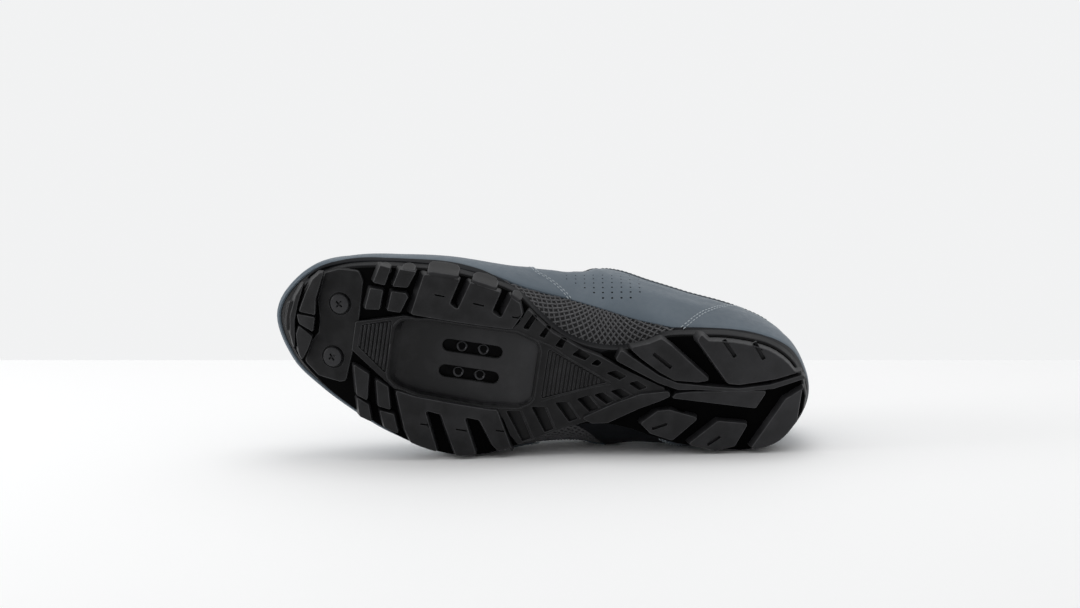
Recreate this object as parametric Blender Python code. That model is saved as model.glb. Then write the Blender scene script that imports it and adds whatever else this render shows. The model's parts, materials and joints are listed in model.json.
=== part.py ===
# Cycling shoe for the right foot, lying on its lateral side.
# The shoe is modelled in its own frame: X from heel to toe, Y towards the medial side, Z up from the ground.
# An empty then lays it down: toe to -X, sole to -Y, medial side up.

import math
from bisect import bisect_right
from collections import namedtuple

import bmesh
import bpy
from mathutils import Matrix, Vector

# Overall sizes, in metres
LENGTH = 0.282
BALL_WIDTH = 0.101
COLLAR_HEIGHT = 0.082
INSTEP_HEIGHT = 0.092
TOE_SPRING = 0.020
ARCH_RISE = 0.006
HEEL_BEVEL = 0.003

# Sole
LUG_DEPTH = 0.008
SIDE_HEIGHT = 0.0048
SIDE_SLOPE = 0.0015
TREAD_TAPER = 0.0015
BRANCH_WIDTH = 0.0012
SPINE_DROP = 0.0022
CELL_DEPTH = 0.0035
RIB_DEPTH = 0.0008
RIB_WIDTH = 0.0011
GROOVE_FLOOR = 0.0022
STUD_FLAT_DEPTH = 0.0038

# Cleat fastening
SLOT_SPACING = 0.014
SLOT_LENGTH = 0.032
SLOT_WIDTH = 0.0066
NUT_PITCH = 0.0115
NUT_RADIUS = 0.0030
NUT_BORE = 0.0021
NUT_PLATE_LENGTH = 0.040
NUT_PLATE_WIDTH = 0.028
NUT_PLATE_THICKNESS = 0.002
NUT_SINK = 0.0016

# Toe studs
STUD_HEAD_RADIUS = 0.0052
STUD_HEAD_HEIGHT = 0.0014
STUD_SHANK_RADIUS = 0.0022
STUD_SHANK_LENGTH = 0.0066
STUD_CROSS = 0.0042
STUD_CROSS_WIDTH = 0.24
STUD_CROWN = 0.82

# Upper, tongue, insole and lace
WALL = 0.0022
PANEL_STEP = 0.0007
CUFF_STEP = 0.0007
PADDING = 0.0034
FOOT_INSET = 0.0015
TONGUE_THICKNESS = 0.0040
TONGUE_CROWN = 0.0040
INSOLE_THICKNESS = 0.0040
LACE_RADIUS = 0.0015
EYELET_RADIUS = 0.0037
EYELET_BORE = 0.0019
EYELET_FLANGE = 0.0007
EYELET_BARREL = 0.0025
EYELET_EDGE = 0.0070

LACE_LEAN = 0.22
LACE_CLIMB = 0.6
COLLAR_ROLL = 0.4

# Clearances, joins and fineness
GAP = 0.0003
FUSE = 0.0010
SLIVER = 0.00001
MARK_CLEARANCE = 0.0004
CORNER_CLEARANCE = 0.0015
STATIONS_PER_RIB = 2
SHARP_ANGLE = math.radians(35)
BORE_SIDES = 12
ROUND_SIDES = 16
STUD_SIDES = 24
LACE_SIDES = 6
LACE_STEPS = 10

# Shares: ends of the sole solids, inner columns of a section, steps and padding up a rib, ends of an ear
SOLE_TIP = 0.002
COLUMNS = (0.4, 0.6)
STEP_SHARE = 0.008
PADDING_START = 0.62
PADDING_SPAN = 0.30
NORMAL_STEP = 0.02
WALL_RINGS = 20
RIB_STEP = 0.05

# Sections of the sole: shares of LENGTH, close together at its round ends
END_MARKS = (0.0, 0.002, 0.006, 0.014, 0.028, 0.047, 0.07, 0.10)
MARKS = sorted(
    {share * LENGTH for share in END_MARKS}
    | {(1 - share) * LENGTH for share in END_MARKS}
    | {(0.10 + 0.04 * k) * LENGTH for k in range(1, 20)}
)

# Sole outline at the feather line. along is a share of LENGTH; medial and lateral are shares of BALL_WIDTH.
Outline = namedtuple("Outline", "along medial lateral")
OUTLINE = [
    Outline(0.000, -0.030, -0.030),
    Outline(0.014, 0.104, -0.163),
    Outline(0.043, 0.208, -0.267),
    Outline(0.092, 0.275, -0.327),
    Outline(0.160, 0.289, -0.349),
    Outline(0.227, 0.267, -0.356),
    Outline(0.284, 0.233, -0.337),
    Outline(0.326, 0.158, -0.317),
    Outline(0.376, 0.112, -0.319),
    Outline(0.426, 0.111, -0.356),
    Outline(0.475, 0.154, -0.426),
    Outline(0.525, 0.248, -0.500),
    Outline(0.567, 0.337, -0.554),
    Outline(0.631, 0.386, -0.594),
    Outline(0.702, 0.406, -0.577),
    Outline(0.780, 0.391, -0.510),
    Outline(0.851, 0.359, -0.426),
    Outline(0.908, 0.307, -0.342),
    Outline(0.957, 0.216, -0.243),
    Outline(0.986, 0.114, -0.139),
    Outline(1.000, -0.010, -0.010),
]

# Sole heights. toe, arch and back are shares of TOE_SPRING, ARCH_RISE and HEEL_BEVEL that lift the tread;
# lug and side are shares of LUG_DEPTH and SIDE_HEIGHT stacked on it.
Profile = namedtuple("Profile", "along toe arch back lug side")
PROFILE = [
    Profile(0.00, 0.00, 0.00, 1.00, 1.00, 1.00),
    Profile(0.05, 0.00, 0.00, 0.25, 1.00, 1.10),
    Profile(0.10, 0.00, 0.00, 0.00, 1.00, 1.15),
    Profile(0.25, 0.00, 0.00, 0.00, 1.00, 1.15),
    Profile(0.32, 0.00, 0.28, 0.00, 1.00, 1.10),
    Profile(0.40, 0.00, 0.80, 0.00, 0.95, 1.05),
    Profile(0.48, 0.00, 0.85, 0.00, 0.95, 1.00),
    Profile(0.56, 0.00, 0.35, 0.00, 1.00, 1.00),
    Profile(0.64, 0.00, 0.00, 0.00, 1.00, 1.00),
    Profile(0.73, 0.01, 0.00, 0.00, 0.95, 1.00),
    Profile(0.80, 0.12, 0.00, 0.00, 0.95, 1.00),
    Profile(0.87, 0.36, 0.00, 0.00, 0.90, 0.95),
    Profile(0.94, 0.68, 0.00, 0.00, 0.85, 0.90),
    Profile(1.00, 1.00, 0.00, 0.00, 0.80, 0.85),
]

# Where the branches of each tread may end, as shares of LENGTH: widest reach, then shortest
FOREFOOT_BRANCH = (0.52, 0.62)
HEEL_BRANCH = (0.45, 0.30)
BRANCH_STEP = 0.0005

# Moulded middle of the sole: its medial and lateral borders, as shares of LENGTH and BALL_WIDTH
Spine = namedtuple("Spine", "along medial lateral")
SPINE = [
    Spine(0.270, -0.044, -0.066),
    Spine(0.355, 0.022, -0.218),
    Spine(0.397, 0.062, -0.287),
    Spine(0.433, 0.102, -0.380),
    Spine(0.490, 0.165, -0.455),
    Spine(0.525, 0.223, -0.505),
    Spine(0.543, 0.275, -0.420),
    Spine(0.557, 0.178, -0.350),
    Spine(0.571, 0.136, -0.302),
    Spine(0.709, 0.137, -0.292),
    Spine(0.770, 0.130, -0.262),
    Spine(0.858, 0.048, -0.104),
]

# Upper, a row for each rib from the heel round the medial side to the toe and back along the lateral side.
# along: foot of the rib on the sole outline, share of LENGTH.
# flare and swell: how far the rib's lower and upper handles lean outwards, shares of BALL_WIDTH.
# lift and drop: how far those handles rise and fall, shares of INSTEP_HEIGHT.
# rim_along, rim_across, collar, instep: the rib's top, shares of LENGTH, BALL_WIDTH and the two heights.
# panel and cuff: where the side panel and the edge band begin, shares of the rib.
# pad: share of the collar padding.
Rib = namedtuple("Rib", "along flare lift rim_along rim_across collar instep swell drop panel cuff pad")
HEEL_RIB = Rib(0.000, 0.050, 0.27, 0.032, -0.030, 1.00, 0.00, 0.03, 0.25, 0.05, 0.84, 1.0)
MEDIAL_RIBS = [
    Rib(0.012, 0.050, 0.27, 0.041, 0.089, 0.98, 0.00, 0.03, 0.25, 0.05, 0.84, 1.0),
    Rib(0.050, 0.050, 0.27, 0.082, 0.218, 0.92, 0.00, 0.03, 0.23, 0.05, 0.84, 1.0),
    Rib(0.124, 0.055, 0.26, 0.156, 0.292, 0.84, 0.00, 0.04, 0.21, 0.05, 0.84, 1.0),
    Rib(0.213, 0.095, 0.22, 0.245, 0.327, 0.82, 0.00, 0.04, 0.21, 0.05, 0.84, 1.0),
    Rib(0.290, 0.180, 0.14, 0.319, 0.340, 0.46, 0.38, 0.05, 0.24, 0.09, 0.84, 0.9),
    Rib(0.355, 0.290, 0.10, 0.377, 0.335, 0.22, 0.69, 0.07, 0.26, 0.17, 0.84, 0.7),
    Rib(0.418, 0.310, 0.10, 0.422, 0.285, 0.00, 0.98, 0.14, 0.26, 0.19, 0.83, 0.4),
    Rib(0.489, 0.260, 0.11, 0.468, 0.195, 0.00, 0.97, 0.24, 0.23, 0.17, 0.82, 0.1),
    Rib(0.550, 0.120, 0.16, 0.514, 0.134, 0.00, 0.91, 0.31, 0.19, 0.08, 0.82, 0.0),
    Rib(0.631, 0.060, 0.19, 0.560, 0.090, 0.00, 0.835, 0.31, 0.13, 0.05, 0.82, 0.0),
    Rib(0.727, 0.060, 0.21, 0.603, 0.059, 0.00, 0.76, 0.32, 0.10, 0.05, 0.83, 0.0),
    Rib(0.823, 0.060, 0.21, 0.635, 0.030, 0.00, 0.71, 0.32, 0.07, 0.05, 0.84, 0.0),
    Rib(0.901, 0.055, 0.21, 0.656, -0.005, 0.00, 0.68, 0.38, 0.06, 0.05, 0.86, 0.0),
    Rib(0.957, 0.050, 0.20, 0.667, -0.040, 0.00, 0.667, 0.48, 0.05, 0.05, 0.88, 0.0),
]
TOE_RIB = Rib(1.000, 0.045, 0.20, 0.670, -0.080, 0.00, 0.66, 0.52, 0.04, 0.05, 0.89, 0.0)
LATERAL_RIBS = [
    Rib(0.014, 0.050, 0.27, 0.041, -0.144, 0.97, 0.00, 0.03, 0.23, 0.05, 0.84, 1.0),
    Rib(0.057, 0.050, 0.26, 0.082, -0.258, 0.90, 0.00, 0.03, 0.21, 0.05, 0.84, 1.0),
    Rib(0.128, 0.050, 0.23, 0.156, -0.332, 0.81, 0.00, 0.04, 0.19, 0.05, 0.84, 1.0),
    Rib(0.220, 0.080, 0.19, 0.241, -0.366, 0.78, 0.00, 0.05, 0.20, 0.05, 0.84, 1.0),
    Rib(0.298, 0.170, 0.14, 0.314, -0.375, 0.44, 0.36, 0.07, 0.22, 0.08, 0.84, 0.9),
    Rib(0.365, 0.280, 0.11, 0.374, -0.368, 0.20, 0.69, 0.11, 0.25, 0.16, 0.84, 0.7),
    Rib(0.433, 0.230, 0.11, 0.422, -0.330, 0.00, 0.96, 0.19, 0.25, 0.19, 0.83, 0.4),
    Rib(0.496, 0.120, 0.14, 0.468, -0.280, 0.00, 0.96, 0.27, 0.22, 0.14, 0.82, 0.1),
    Rib(0.567, 0.045, 0.17, 0.514, -0.248, 0.00, 0.91, 0.31, 0.18, 0.05, 0.82, 0.0),
    Rib(0.660, 0.035, 0.17, 0.560, -0.228, 0.00, 0.835, 0.34, 0.13, 0.05, 0.82, 0.0),
    Rib(0.752, 0.045, 0.18, 0.603, -0.206, 0.00, 0.76, 0.33, 0.09, 0.05, 0.83, 0.0),
    Rib(0.837, 0.050, 0.19, 0.635, -0.183, 0.00, 0.71, 0.34, 0.07, 0.05, 0.84, 0.0),
    Rib(0.908, 0.050, 0.20, 0.656, -0.153, 0.00, 0.68, 0.36, 0.06, 0.05, 0.86, 0.0),
    Rib(0.965, 0.050, 0.20, 0.667, -0.119, 0.00, 0.667, 0.46, 0.05, 0.05, 0.88, 0.0),
]
RIBS = [HEEL_RIB] + MEDIAL_RIBS + [TOE_RIB] + LATERAL_RIBS[::-1]
RIB_COUNT = len(RIBS)

# Tongue: ribs that it follows under the throat, then its free top.
TONGUE_RIBS = [14.2, 13.4, 12.4, 11.4, 10.4, 9.4, 8.6, 7.9, 7.4]
TONGUE_REACH = 0.90
# back, rise: from the throat's top corner, shares of LENGTH and INSTEP_HEIGHT; half and droop: shares of
# BALL_WIDTH.
Ear = namedtuple("Ear", "back rise half droop")
EARS = [
    Ear(0.021, 0.07, 0.230, 0.075),
    Ear(0.045, 0.13, 0.275, 0.070),
    Ear(0.064, 0.17, 0.290, 0.060),
    Ear(0.076, 0.19, 0.240, 0.045),
]

EYELET_RIBS = [7.35, 8.45, 9.55, 10.7, 12.0]

# Grooves: straight cuts from start to end, in shares of LENGTH and BALL_WIDTH; width is a share of
# BALL_WIDTH, depth a share of the lug's height above the groove floor.
Groove = namedtuple("Groove", "start_along start_across end_along end_across width depth")
FOREFOOT_GROOVES = [
    Groove(0.807, 0.080, 0.789, 0.430, 0.032, 0.9),
    Groove(0.759, 0.080, 0.734, 0.440, 0.045, 1.0),
    Groove(0.856, 0.228, 0.748, 0.228, 0.018, 0.7),
    Groove(0.684, 0.168, 0.657, 0.440, 0.035, 1.0),
    Groove(0.606, 0.163, 0.577, 0.420, 0.040, 1.0),
    Groove(0.813, -0.235, 0.784, -0.540, 0.030, 0.9),
    Groove(0.773, -0.255, 0.730, -0.600, 0.045, 1.0),
    Groove(0.853, -0.322, 0.748, -0.425, 0.018, 0.7),
    Groove(0.693, -0.371, 0.646, -0.650, 0.060, 1.0),
    Groove(0.619, -0.381, 0.570, -0.650, 0.060, 1.0),
    Groove(0.963, 0.230, 0.972, -0.010, 0.016, 0.6),
    Groove(0.972, 0.010, 0.960, -0.260, 0.016, 0.6),
    Groove(0.984, 0.170, 0.989, -0.010, 0.012, 0.4),
    Groove(0.989, 0.010, 0.984, -0.190, 0.012, 0.4),
]
HEEL_GROOVES = [
    Groove(0.266, 0.290, 0.150, -0.035, 0.062, 1.0),
    Groove(0.372, 0.110, 0.272, -0.040, 0.022, 0.7),
    Groove(0.284, -0.034, 0.130, -0.008, 0.024, 0.8),
    Groove(0.142, -0.012, 0.000, 0.130, 0.024, 0.75),
    Groove(0.262, -0.062, 0.075, 0.002, 0.016, 0.5),
    Groove(0.355, -0.295, 0.268, -0.158, 0.030, 0.9),
    Groove(0.272, -0.155, 0.090, -0.150, 0.034, 0.9),
    Groove(0.180, -0.150, 0.262, -0.400, 0.075, 1.0),
    Groove(0.066, 0.015, 0.110, -0.370, 0.072, 1.0),
    Groove(0.066, -0.020, 0.000, 0.100, 0.026, 0.8),
    Groove(0.178, 0.225, 0.148, 0.138, 0.026, 0.6),
    Groove(0.121, 0.240, 0.094, 0.160, 0.026, 0.6),
    Groove(0.287, -0.285, 0.250, -0.245, 0.018, 0.4),
    Groove(0.174, -0.335, 0.152, -0.275, 0.018, 0.4),
    Groove(0.294, 0.105, 0.262, 0.050, 0.026, 0.5),
]

# Sunken cells along each branch of the waist: centre line, count, size at its start and end
Ladder = namedtuple("Ladder", "start_along start_across end_along end_across count lean size_start size_end")
LADDERS = [
    Ladder(0.535, 0.176, 0.322, -0.070, 7, -0.55, 0.085, 0.030),
    Ladder(0.532, -0.380, 0.344, -0.130, 7, 0.80, 0.165, 0.050),
]
CELL_WIDTH = 0.050
CELL_NARROWING = 0.25

# Ribbed fields in front of and behind the cleat pocket
RibField = namedtuple("RibField", "start_along end_along start_low start_high end_low end_high count")
RIB_FIELDS = [
    RibField(0.794, 0.846, -0.200, 0.085, -0.092, 0.036, 8),
    RibField(0.491, 0.380, -0.235, 0.045, -0.095, -0.070, 13),
]

# Cleat pocket: its border, shares of LENGTH and BALL_WIDTH
POCKET = [
    (0.512, 0.040), (0.518, 0.085), (0.560, 0.122), (0.720, 0.122), (0.772, 0.105), (0.782, 0.060),
    (0.782, -0.205), (0.765, -0.240), (0.720, -0.268), (0.600, -0.280), (0.535, -0.262), (0.512, -0.225),
]
POCKET_FRONT = 0.740
POCKET_BACK = 0.570
CLEAT_ALONG = 0.635
CLEAT_ACROSS = -0.070

# Stud flat at the toe and the two studs in it
STUD_FLAT_BACK = 0.846
STUD_FLAT_FRONT = 0.930
STUD_ALONG = 0.892
STUD_ACROSS = {"medial": 0.122, "lateral": -0.166}

# Weights of the materials, kilograms per cubic metre, for the point where the shoe balances
DENSITY = {"nylon": 1100, "rubber": 1150, "synthetic": 900, "foam": 200, "steel": 7800, "textile": 500}


def spline(values, position, closed=False):
    """Catmull-Rom value of a list of numbers at a real-valued position."""
    count = len(values)
    index = math.floor(position)
    share = position - index
    picks = []
    for offset in (-1, 0, 1, 2):
        place = index + offset
        place = place % count if closed else min(max(place, 0), count - 1)
        picks.append(values[place])
    before, start, end, after = picks
    return 0.5 * (
        2 * start + (end - before) * share
        + (2 * before - 5 * start + 4 * end - after) * share ** 2
        + (3 * start - before - 3 * end + after) * share ** 3
    )


def table_value(rows, along, column):
    """A column of a table at a share of the length, joined by straight lines."""
    if along <= rows[0].along:
        return getattr(rows[0], column)
    for low, high in zip(rows, rows[1:]):
        if along <= high.along:
            share = (along - low.along) / (high.along - low.along)
            return getattr(low, column) * (1 - share) + getattr(high, column) * share
    return getattr(rows[-1], column)


def smooth_value(rows, along, column):
    """A column of a table at a share of the length, on a smooth curve that never overshoots."""
    alongs = [row.along for row in rows]
    if along <= alongs[0] or along >= alongs[-1]:
        return table_value(rows, along, column)
    index = max(i for i, value in enumerate(alongs) if value <= along)
    share = (along - alongs[index]) / (alongs[index + 1] - alongs[index])
    value = spline([getattr(row, column) for row in rows], index + share)
    ends = sorted(getattr(rows[i], column) for i in (index, index + 1))
    return min(max(value, ends[0]), ends[1])


def outline_branch(side):
    """Fine points of one side of the outline, from heel to toe, as a smooth closed curve sees them."""
    medial = [(row.along * LENGTH, row.medial * BALL_WIDTH) for row in OUTLINE]
    lateral = [(row.along * LENGTH, row.lateral * BALL_WIDTH) for row in OUTLINE[1:-1]]
    ring = medial + lateral[::-1]
    last = len(OUTLINE) - 1
    steps = 12
    points = []
    for k in range(last * steps + 1):
        position = k / steps if side == "medial" else len(ring) - k / steps
        points.append(tuple(spline([p[axis] for p in ring], position, closed=True) for axis in (0, 1)))
    return points


BRANCH = {side: outline_branch(side) for side in ("medial", "lateral")}


def edge(side, x):
    """Across position of the sole outline at a distance from the heel."""
    points = BRANCH[side]
    x = min(max(x, 0.0), LENGTH)
    best = min(range(len(points) - 1), key=lambda i: _span_distance(points[i], points[i + 1], x))
    (x0, y0), (x1, y1) = points[best], points[best + 1]
    if abs(x1 - x0) < 1e-9:
        return y0
    share = min(max((x - x0) / (x1 - x0), 0.0), 1.0)
    return y0 + (y1 - y0) * share


def _span_distance(start, end, x):
    low, high = sorted((start[0], end[0]))
    return max(low - x, x - high, 0.0)


def outward(side, x):
    """Outward direction of the outline, in plan."""
    step = LENGTH * 0.004
    back, front = max(x - step, 0.0), min(x + step, LENGTH)
    if x <= 0.0:
        return Vector((-1.0, 0.0, 0.0))
    if x >= LENGTH:
        return Vector((1.0, 0.0, 0.0))
    tangent = Vector((front - back, edge(side, front) - edge(side, back), 0.0)).normalized()
    sign = 1.0 if side == "medial" else -1.0
    return Vector((-tangent.y * sign, tangent.x * sign, 0.0))


def inset_point(side, x, inset):
    """Point of the outline at a distance from the heel, moved inwards."""
    return Vector((x, edge(side, x), 0.0)) - outward(side, x) * inset


def faceted(height):
    """The same height, joined by straight lines between the marks, as the facets of the sole have it."""
    levels = [height(mark) for mark in MARKS]

    def value(x):
        index = min(max(bisect_right(MARKS, x) - 1, 0), len(MARKS) - 2)
        share = (x - MARKS[index]) / (MARKS[index + 1] - MARKS[index])
        return levels[index] * (1 - share) + levels[index + 1] * share

    return value


tread_height = faceted(lambda x: (
    TOE_SPRING * smooth_value(PROFILE, x / LENGTH, "toe")
    + ARCH_RISE * smooth_value(PROFILE, x / LENGTH, "arch")
    + HEEL_BEVEL * smooth_value(PROFILE, x / LENGTH, "back")
))
base_height = faceted(lambda x: tread_height(x) + LUG_DEPTH * smooth_value(PROFILE, x / LENGTH, "lug"))
feather_height = faceted(lambda x: base_height(x) + SIDE_HEIGHT * smooth_value(PROFILE, x / LENGTH, "side"))


def spine_height(x):
    return tread_height(x) + SPINE_DROP


def spine_border(side, x):
    """Border of the moulded middle, kept inside the sole's sloping side."""
    across = table_value(SPINE, x / LENGTH, side) * BALL_WIDTH
    limit = edge(side, x)
    margin = SIDE_SLOPE + TREAD_TAPER
    return min(across, limit - margin) if side == "medial" else max(across, limit + margin)


def material(name, color, roughness, metallic=0.0):
    result = bpy.data.materials.new(name)
    result.use_nodes = True
    shader = result.node_tree.nodes["Principled BSDF"]
    shader.inputs["Base Color"].default_value = (*color, 1.0)
    shader.inputs["Roughness"].default_value = roughness
    shader.inputs["Metallic"].default_value = metallic
    result.diffuse_color = (*color, 1.0)
    return result


def new_object(name, mesh_data, surface):
    """Object from a bmesh: closed, faces out, smooth apart from its sharp edges."""
    bmesh.ops.remove_doubles(mesh_data, verts=mesh_data.verts, dist=1e-6)
    bmesh.ops.recalc_face_normals(mesh_data, faces=mesh_data.faces)
    mesh = bpy.data.meshes.new(name)
    mesh_data.to_mesh(mesh)
    mesh_data.free()
    mesh.shade_smooth()
    mesh.set_sharp_from_angle(angle=SHARP_ANGLE)
    item = bpy.data.objects.new(name, mesh)
    bpy.context.scene.collection.objects.link(item)
    item.data.materials.append(surface)
    return item


def boolean(target, cutter, operation):
    """Cuts the target by, or joins it with, a second solid, which is used up."""
    modifier = target.modifiers.new(operation, "BOOLEAN")
    modifier.operation = operation
    modifier.solver = "EXACT"
    modifier.object = cutter
    bpy.context.view_layer.update()
    result = bpy.data.meshes.new_from_object(target.evaluated_get(bpy.context.evaluated_depsgraph_get()))
    target.modifiers.clear()
    old = target.data
    target.data = result
    result.name = target.name
    bpy.data.meshes.remove(old)
    used = cutter.data
    bpy.data.objects.remove(cutter)
    bpy.data.meshes.remove(used)


def tidy(item):
    """Merges the slivers that cuts leave, and closes the shading edges again."""
    mesh_data = bmesh.new()
    mesh_data.from_mesh(item.data)
    bmesh.ops.remove_doubles(mesh_data, verts=mesh_data.verts, dist=SLIVER)
    bmesh.ops.dissolve_degenerate(mesh_data, edges=mesh_data.edges, dist=SLIVER)
    bmesh.ops.triangulate(mesh_data, faces=mesh_data.faces)
    mesh_data.to_mesh(item.data)
    mesh_data.free()
    item.data.shade_smooth()
    item.data.set_sharp_from_angle(angle=SHARP_ANGLE)


def stations(start, end):
    """Distances from the heel of the sections between two ends."""
    inner = [mark for mark in MARKS if start + MARK_CLEARANCE < mark < end - MARK_CLEARANCE]
    return [start] + inner + [end]


def forked_slab(name, rows, surface):
    """Solid between a low and a high sheet, forked where a row says that it is open in the middle.

    Each row is (low points, high points, is open); its points run from the lateral to the medial edge,
    two for each branch.
    """
    mesh_data = bmesh.new()
    levels = []
    for low, high, is_open in rows:
        low_line, high_line = ([mesh_data.verts.new(p) for p in line] for line in (low, high))
        levels.append((low_line, high_line, is_open))
    columns = len(rows[0][0])
    middle = columns // 2 - 1

    def face(corners):
        distinct = list(dict.fromkeys(corners))
        if len(distinct) > 2:
            mesh_data.faces.new(distinct)

    for (low_a, high_a, open_a), (low_b, high_b, open_b) in zip(levels, levels[1:]):
        open_here = open_a or open_b
        for k in range(columns - 1):
            if k == middle and open_here:
                face((low_a[k], low_b[k], high_b[k], high_a[k]))
                face((low_a[k + 1], high_a[k + 1], high_b[k + 1], low_b[k + 1]))
                continue
            face((low_a[k], low_a[k + 1], low_b[k + 1], low_b[k]))
            face((high_a[k], high_b[k], high_b[k + 1], high_a[k + 1]))
        face((low_a[0], low_b[0], high_b[0], high_a[0]))
        face((low_a[-1], high_a[-1], high_b[-1], low_b[-1]))
    for end, neighbour in ((0, 1), (-1, -2)):
        low, high, is_open = levels[end]
        for k in range(columns - 1):
            if not (k == middle and is_open):
                face((low[k], high[k], high[k + 1], low[k + 1]))
    for (low_a, high_a, open_a), (_, _, open_b) in zip(levels, levels[1:]):
        if not open_a and open_b:
            face((low_a[middle], high_a[middle], high_a[middle + 1], low_a[middle + 1]))
    for (_, _, open_a), (low_b, high_b, open_b) in zip(levels, levels[1:]):
        if open_a and not open_b:
            face((low_b[middle], high_b[middle], high_b[middle + 1], low_b[middle + 1]))
    return new_object(name, mesh_data, surface)


def prism(name, outline, low, high):
    """Closed prism over a plan outline, with its low and high heights given for each point."""
    mesh_data = bmesh.new()
    bottom = [mesh_data.verts.new((x, y, z)) for (x, y), z in zip(outline, low)]
    top = [mesh_data.verts.new((x, y, z)) for (x, y), z in zip(outline, high)]
    count = len(outline)
    mesh_data.faces.new(bottom)
    mesh_data.faces.new(top[::-1])
    for k in range(count):
        n = (k + 1) % count
        mesh_data.faces.new((bottom[k], top[k], top[n], bottom[n]))
    return new_object(name, mesh_data, None)


def bar(start, end, width, low, high, name="cutter"):
    """Straight bar in plan between two points; low and high give heights at a distance from the heel."""
    start, end = Vector(start), Vector(end)
    side = (end - start).normalized().orthogonal() * width / 2
    corners = [start + side, end + side, end - side, start - side]
    outline = [(c.x, c.y) for c in corners]
    return prism(name, outline, [low(c.x) for c in corners], [high(c.x) for c in corners])


def plan(along, across):
    return (along * LENGTH, across * BALL_WIDTH)


def cut_grooves(target, grooves):
    for groove in grooves:
        def roof(x, share=groove.depth):
            depth = base_height(x) - GAP - GROOVE_FLOOR - tread_height(x)
            return tread_height(x) + depth * share

        cutter = bar(
            plan(groove.start_along, groove.start_across),
            plan(groove.end_along, groove.end_across),
            groove.width * BALL_WIDTH,
            lambda x: tread_height(x) - LUG_DEPTH,
            roof,
        )
        boolean(target, cutter, "DIFFERENCE")


def cylinder(name, radius, low, high, place=Matrix(), sides=ROUND_SIDES, surface=None):
    mesh_data = bmesh.new()
    bmesh.ops.create_cone(
        mesh_data, cap_ends=True, segments=sides, radius1=radius, radius2=radius, depth=high - low,
        matrix=place @ Matrix.Translation((0, 0, (low + high) / 2)),
    )
    return new_object(name, mesh_data, surface)


def full_row(x, low, high, low_inset, high_inset, inners, is_open):
    """A row of a slab across the sole: the two edges and two inner points."""
    points = []
    for height, inset in ((low, low_inset), (high, high_inset)):
        lateral = inset_point("lateral", x, inset)
        medial = inset_point("medial", x, inset)
        if inners:
            inner = [Vector((x, inners[0], 0)), Vector((x, inners[1], 0))]
        else:
            inner = [lateral.lerp(medial, share) for share in COLUMNS]
        line = [lateral, inner[0], inner[1], medial]
        points.append([Vector((p.x, p.y, height(p.x))) for p in line])
    return points[0], points[1], is_open


def make_plate(nylon):
    """Nylon body of the sole: the base, the raised middle, the pocket, the cells and the ribs."""
    rows = [
        full_row(x, base_height, feather_height, SIDE_SLOPE, 0.0, None, False)
        for x in stations(SOLE_TIP * LENGTH, (1 - SOLE_TIP) * LENGTH)
    ]
    plate = forked_slab("sole_plate", rows, nylon)

    spine_rows = []
    for x in spine_marks(SPINE[0].along * LENGTH, SPINE[-1].along * LENGTH):
        lateral, medial = spine_border("lateral", x), spine_border("medial", x)
        across = [lateral] + [lateral + (medial - lateral) * share for share in COLUMNS] + [medial]
        low = [Vector((x, y, spine_height(x))) for y in across]
        high = [Vector((x, y, base_height(x) + FUSE)) for y in across]
        spine_rows.append((low, high, False))
    boolean(plate, forked_slab("spine", spine_rows, nylon), "UNION")

    floor = pocket_floor()
    outline = [plan(*corner) for corner in POCKET]
    low = [tread_height(x) - LUG_DEPTH for x, _ in outline]
    boolean(plate, prism("pocket", outline, low, [floor] * len(outline)), "DIFFERENCE")

    for ladder in LADDERS:
        for k in range(ladder.count):
            boolean(plate, ladder_cell(ladder, k / (ladder.count - 1)), "DIFFERENCE")

    for field in RIB_FIELDS:
        for k in range(field.count):
            share = (k + 0.5) / field.count
            x = (field.start_along + (field.end_along - field.start_along) * share) * LENGTH
            ends = [
                (field.start_low + (field.end_low - field.start_low) * share) * BALL_WIDTH,
                (field.start_high + (field.end_high - field.start_high) * share) * BALL_WIDTH,
            ]
            cutter = bar(
                (x, ends[0]), (x, ends[1]), RIB_WIDTH,
                lambda at: tread_height(at) - LUG_DEPTH, lambda at: spine_height(at) + RIB_DEPTH,
            )
            boolean(plate, cutter, "DIFFERENCE")

    cut_cleat_bed(plate)
    for side in STUD_ACROSS:
        top = STUD_SHANK_LENGTH + 2 * GAP
        bore = cylinder("bore", STUD_SHANK_RADIUS + GAP, -LUG_DEPTH, top, stud_frame(side), BORE_SIDES)
        boolean(plate, bore, "DIFFERENCE")
    tidy(plate)
    return plate


def pocket_floor():
    """Height of the flat floor of the cleat pocket."""
    return base_height(CLEAT_ALONG * LENGTH)


def ladder_cell(ladder, share):
    """Cutter of one sunken cell, a slanted bar across its branch."""
    start = Vector(plan(ladder.start_along, ladder.start_across))
    end = Vector(plan(ladder.end_along, ladder.end_across))
    centre = start.lerp(end, share)
    half = (ladder.size_start + (ladder.size_end - ladder.size_start) * share) * BALL_WIDTH / 2
    reach = Vector((ladder.lean, 1.0)).normalized() * half
    width = CELL_WIDTH * BALL_WIDTH * (1.0 - CELL_NARROWING * share)
    return bar(
        centre - reach, centre + reach, width,
        lambda x: tread_height(x) - LUG_DEPTH, lambda x: spine_height(x) + CELL_DEPTH,
    )


def cleat_point(offset_along, offset_across):
    return Vector((CLEAT_ALONG * LENGTH + offset_along, CLEAT_ACROSS * BALL_WIDTH + offset_across, 0.0))


def rounded_bar(centre, length, width, low, high, sides=6):
    """Closed bar along X with half-round ends."""
    outline = []
    for sign in (1, -1):
        for k in range(sides + 1):
            angle = sign * math.pi / 2 - math.pi * k / sides
            outline.append((
                centre.x + (length - width) / 2 * sign + width / 2 * math.cos(angle),
                centre.y + width / 2 * math.sin(angle),
            ))
    return prism("slot", outline, [low] * len(outline), [high] * len(outline))


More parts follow.
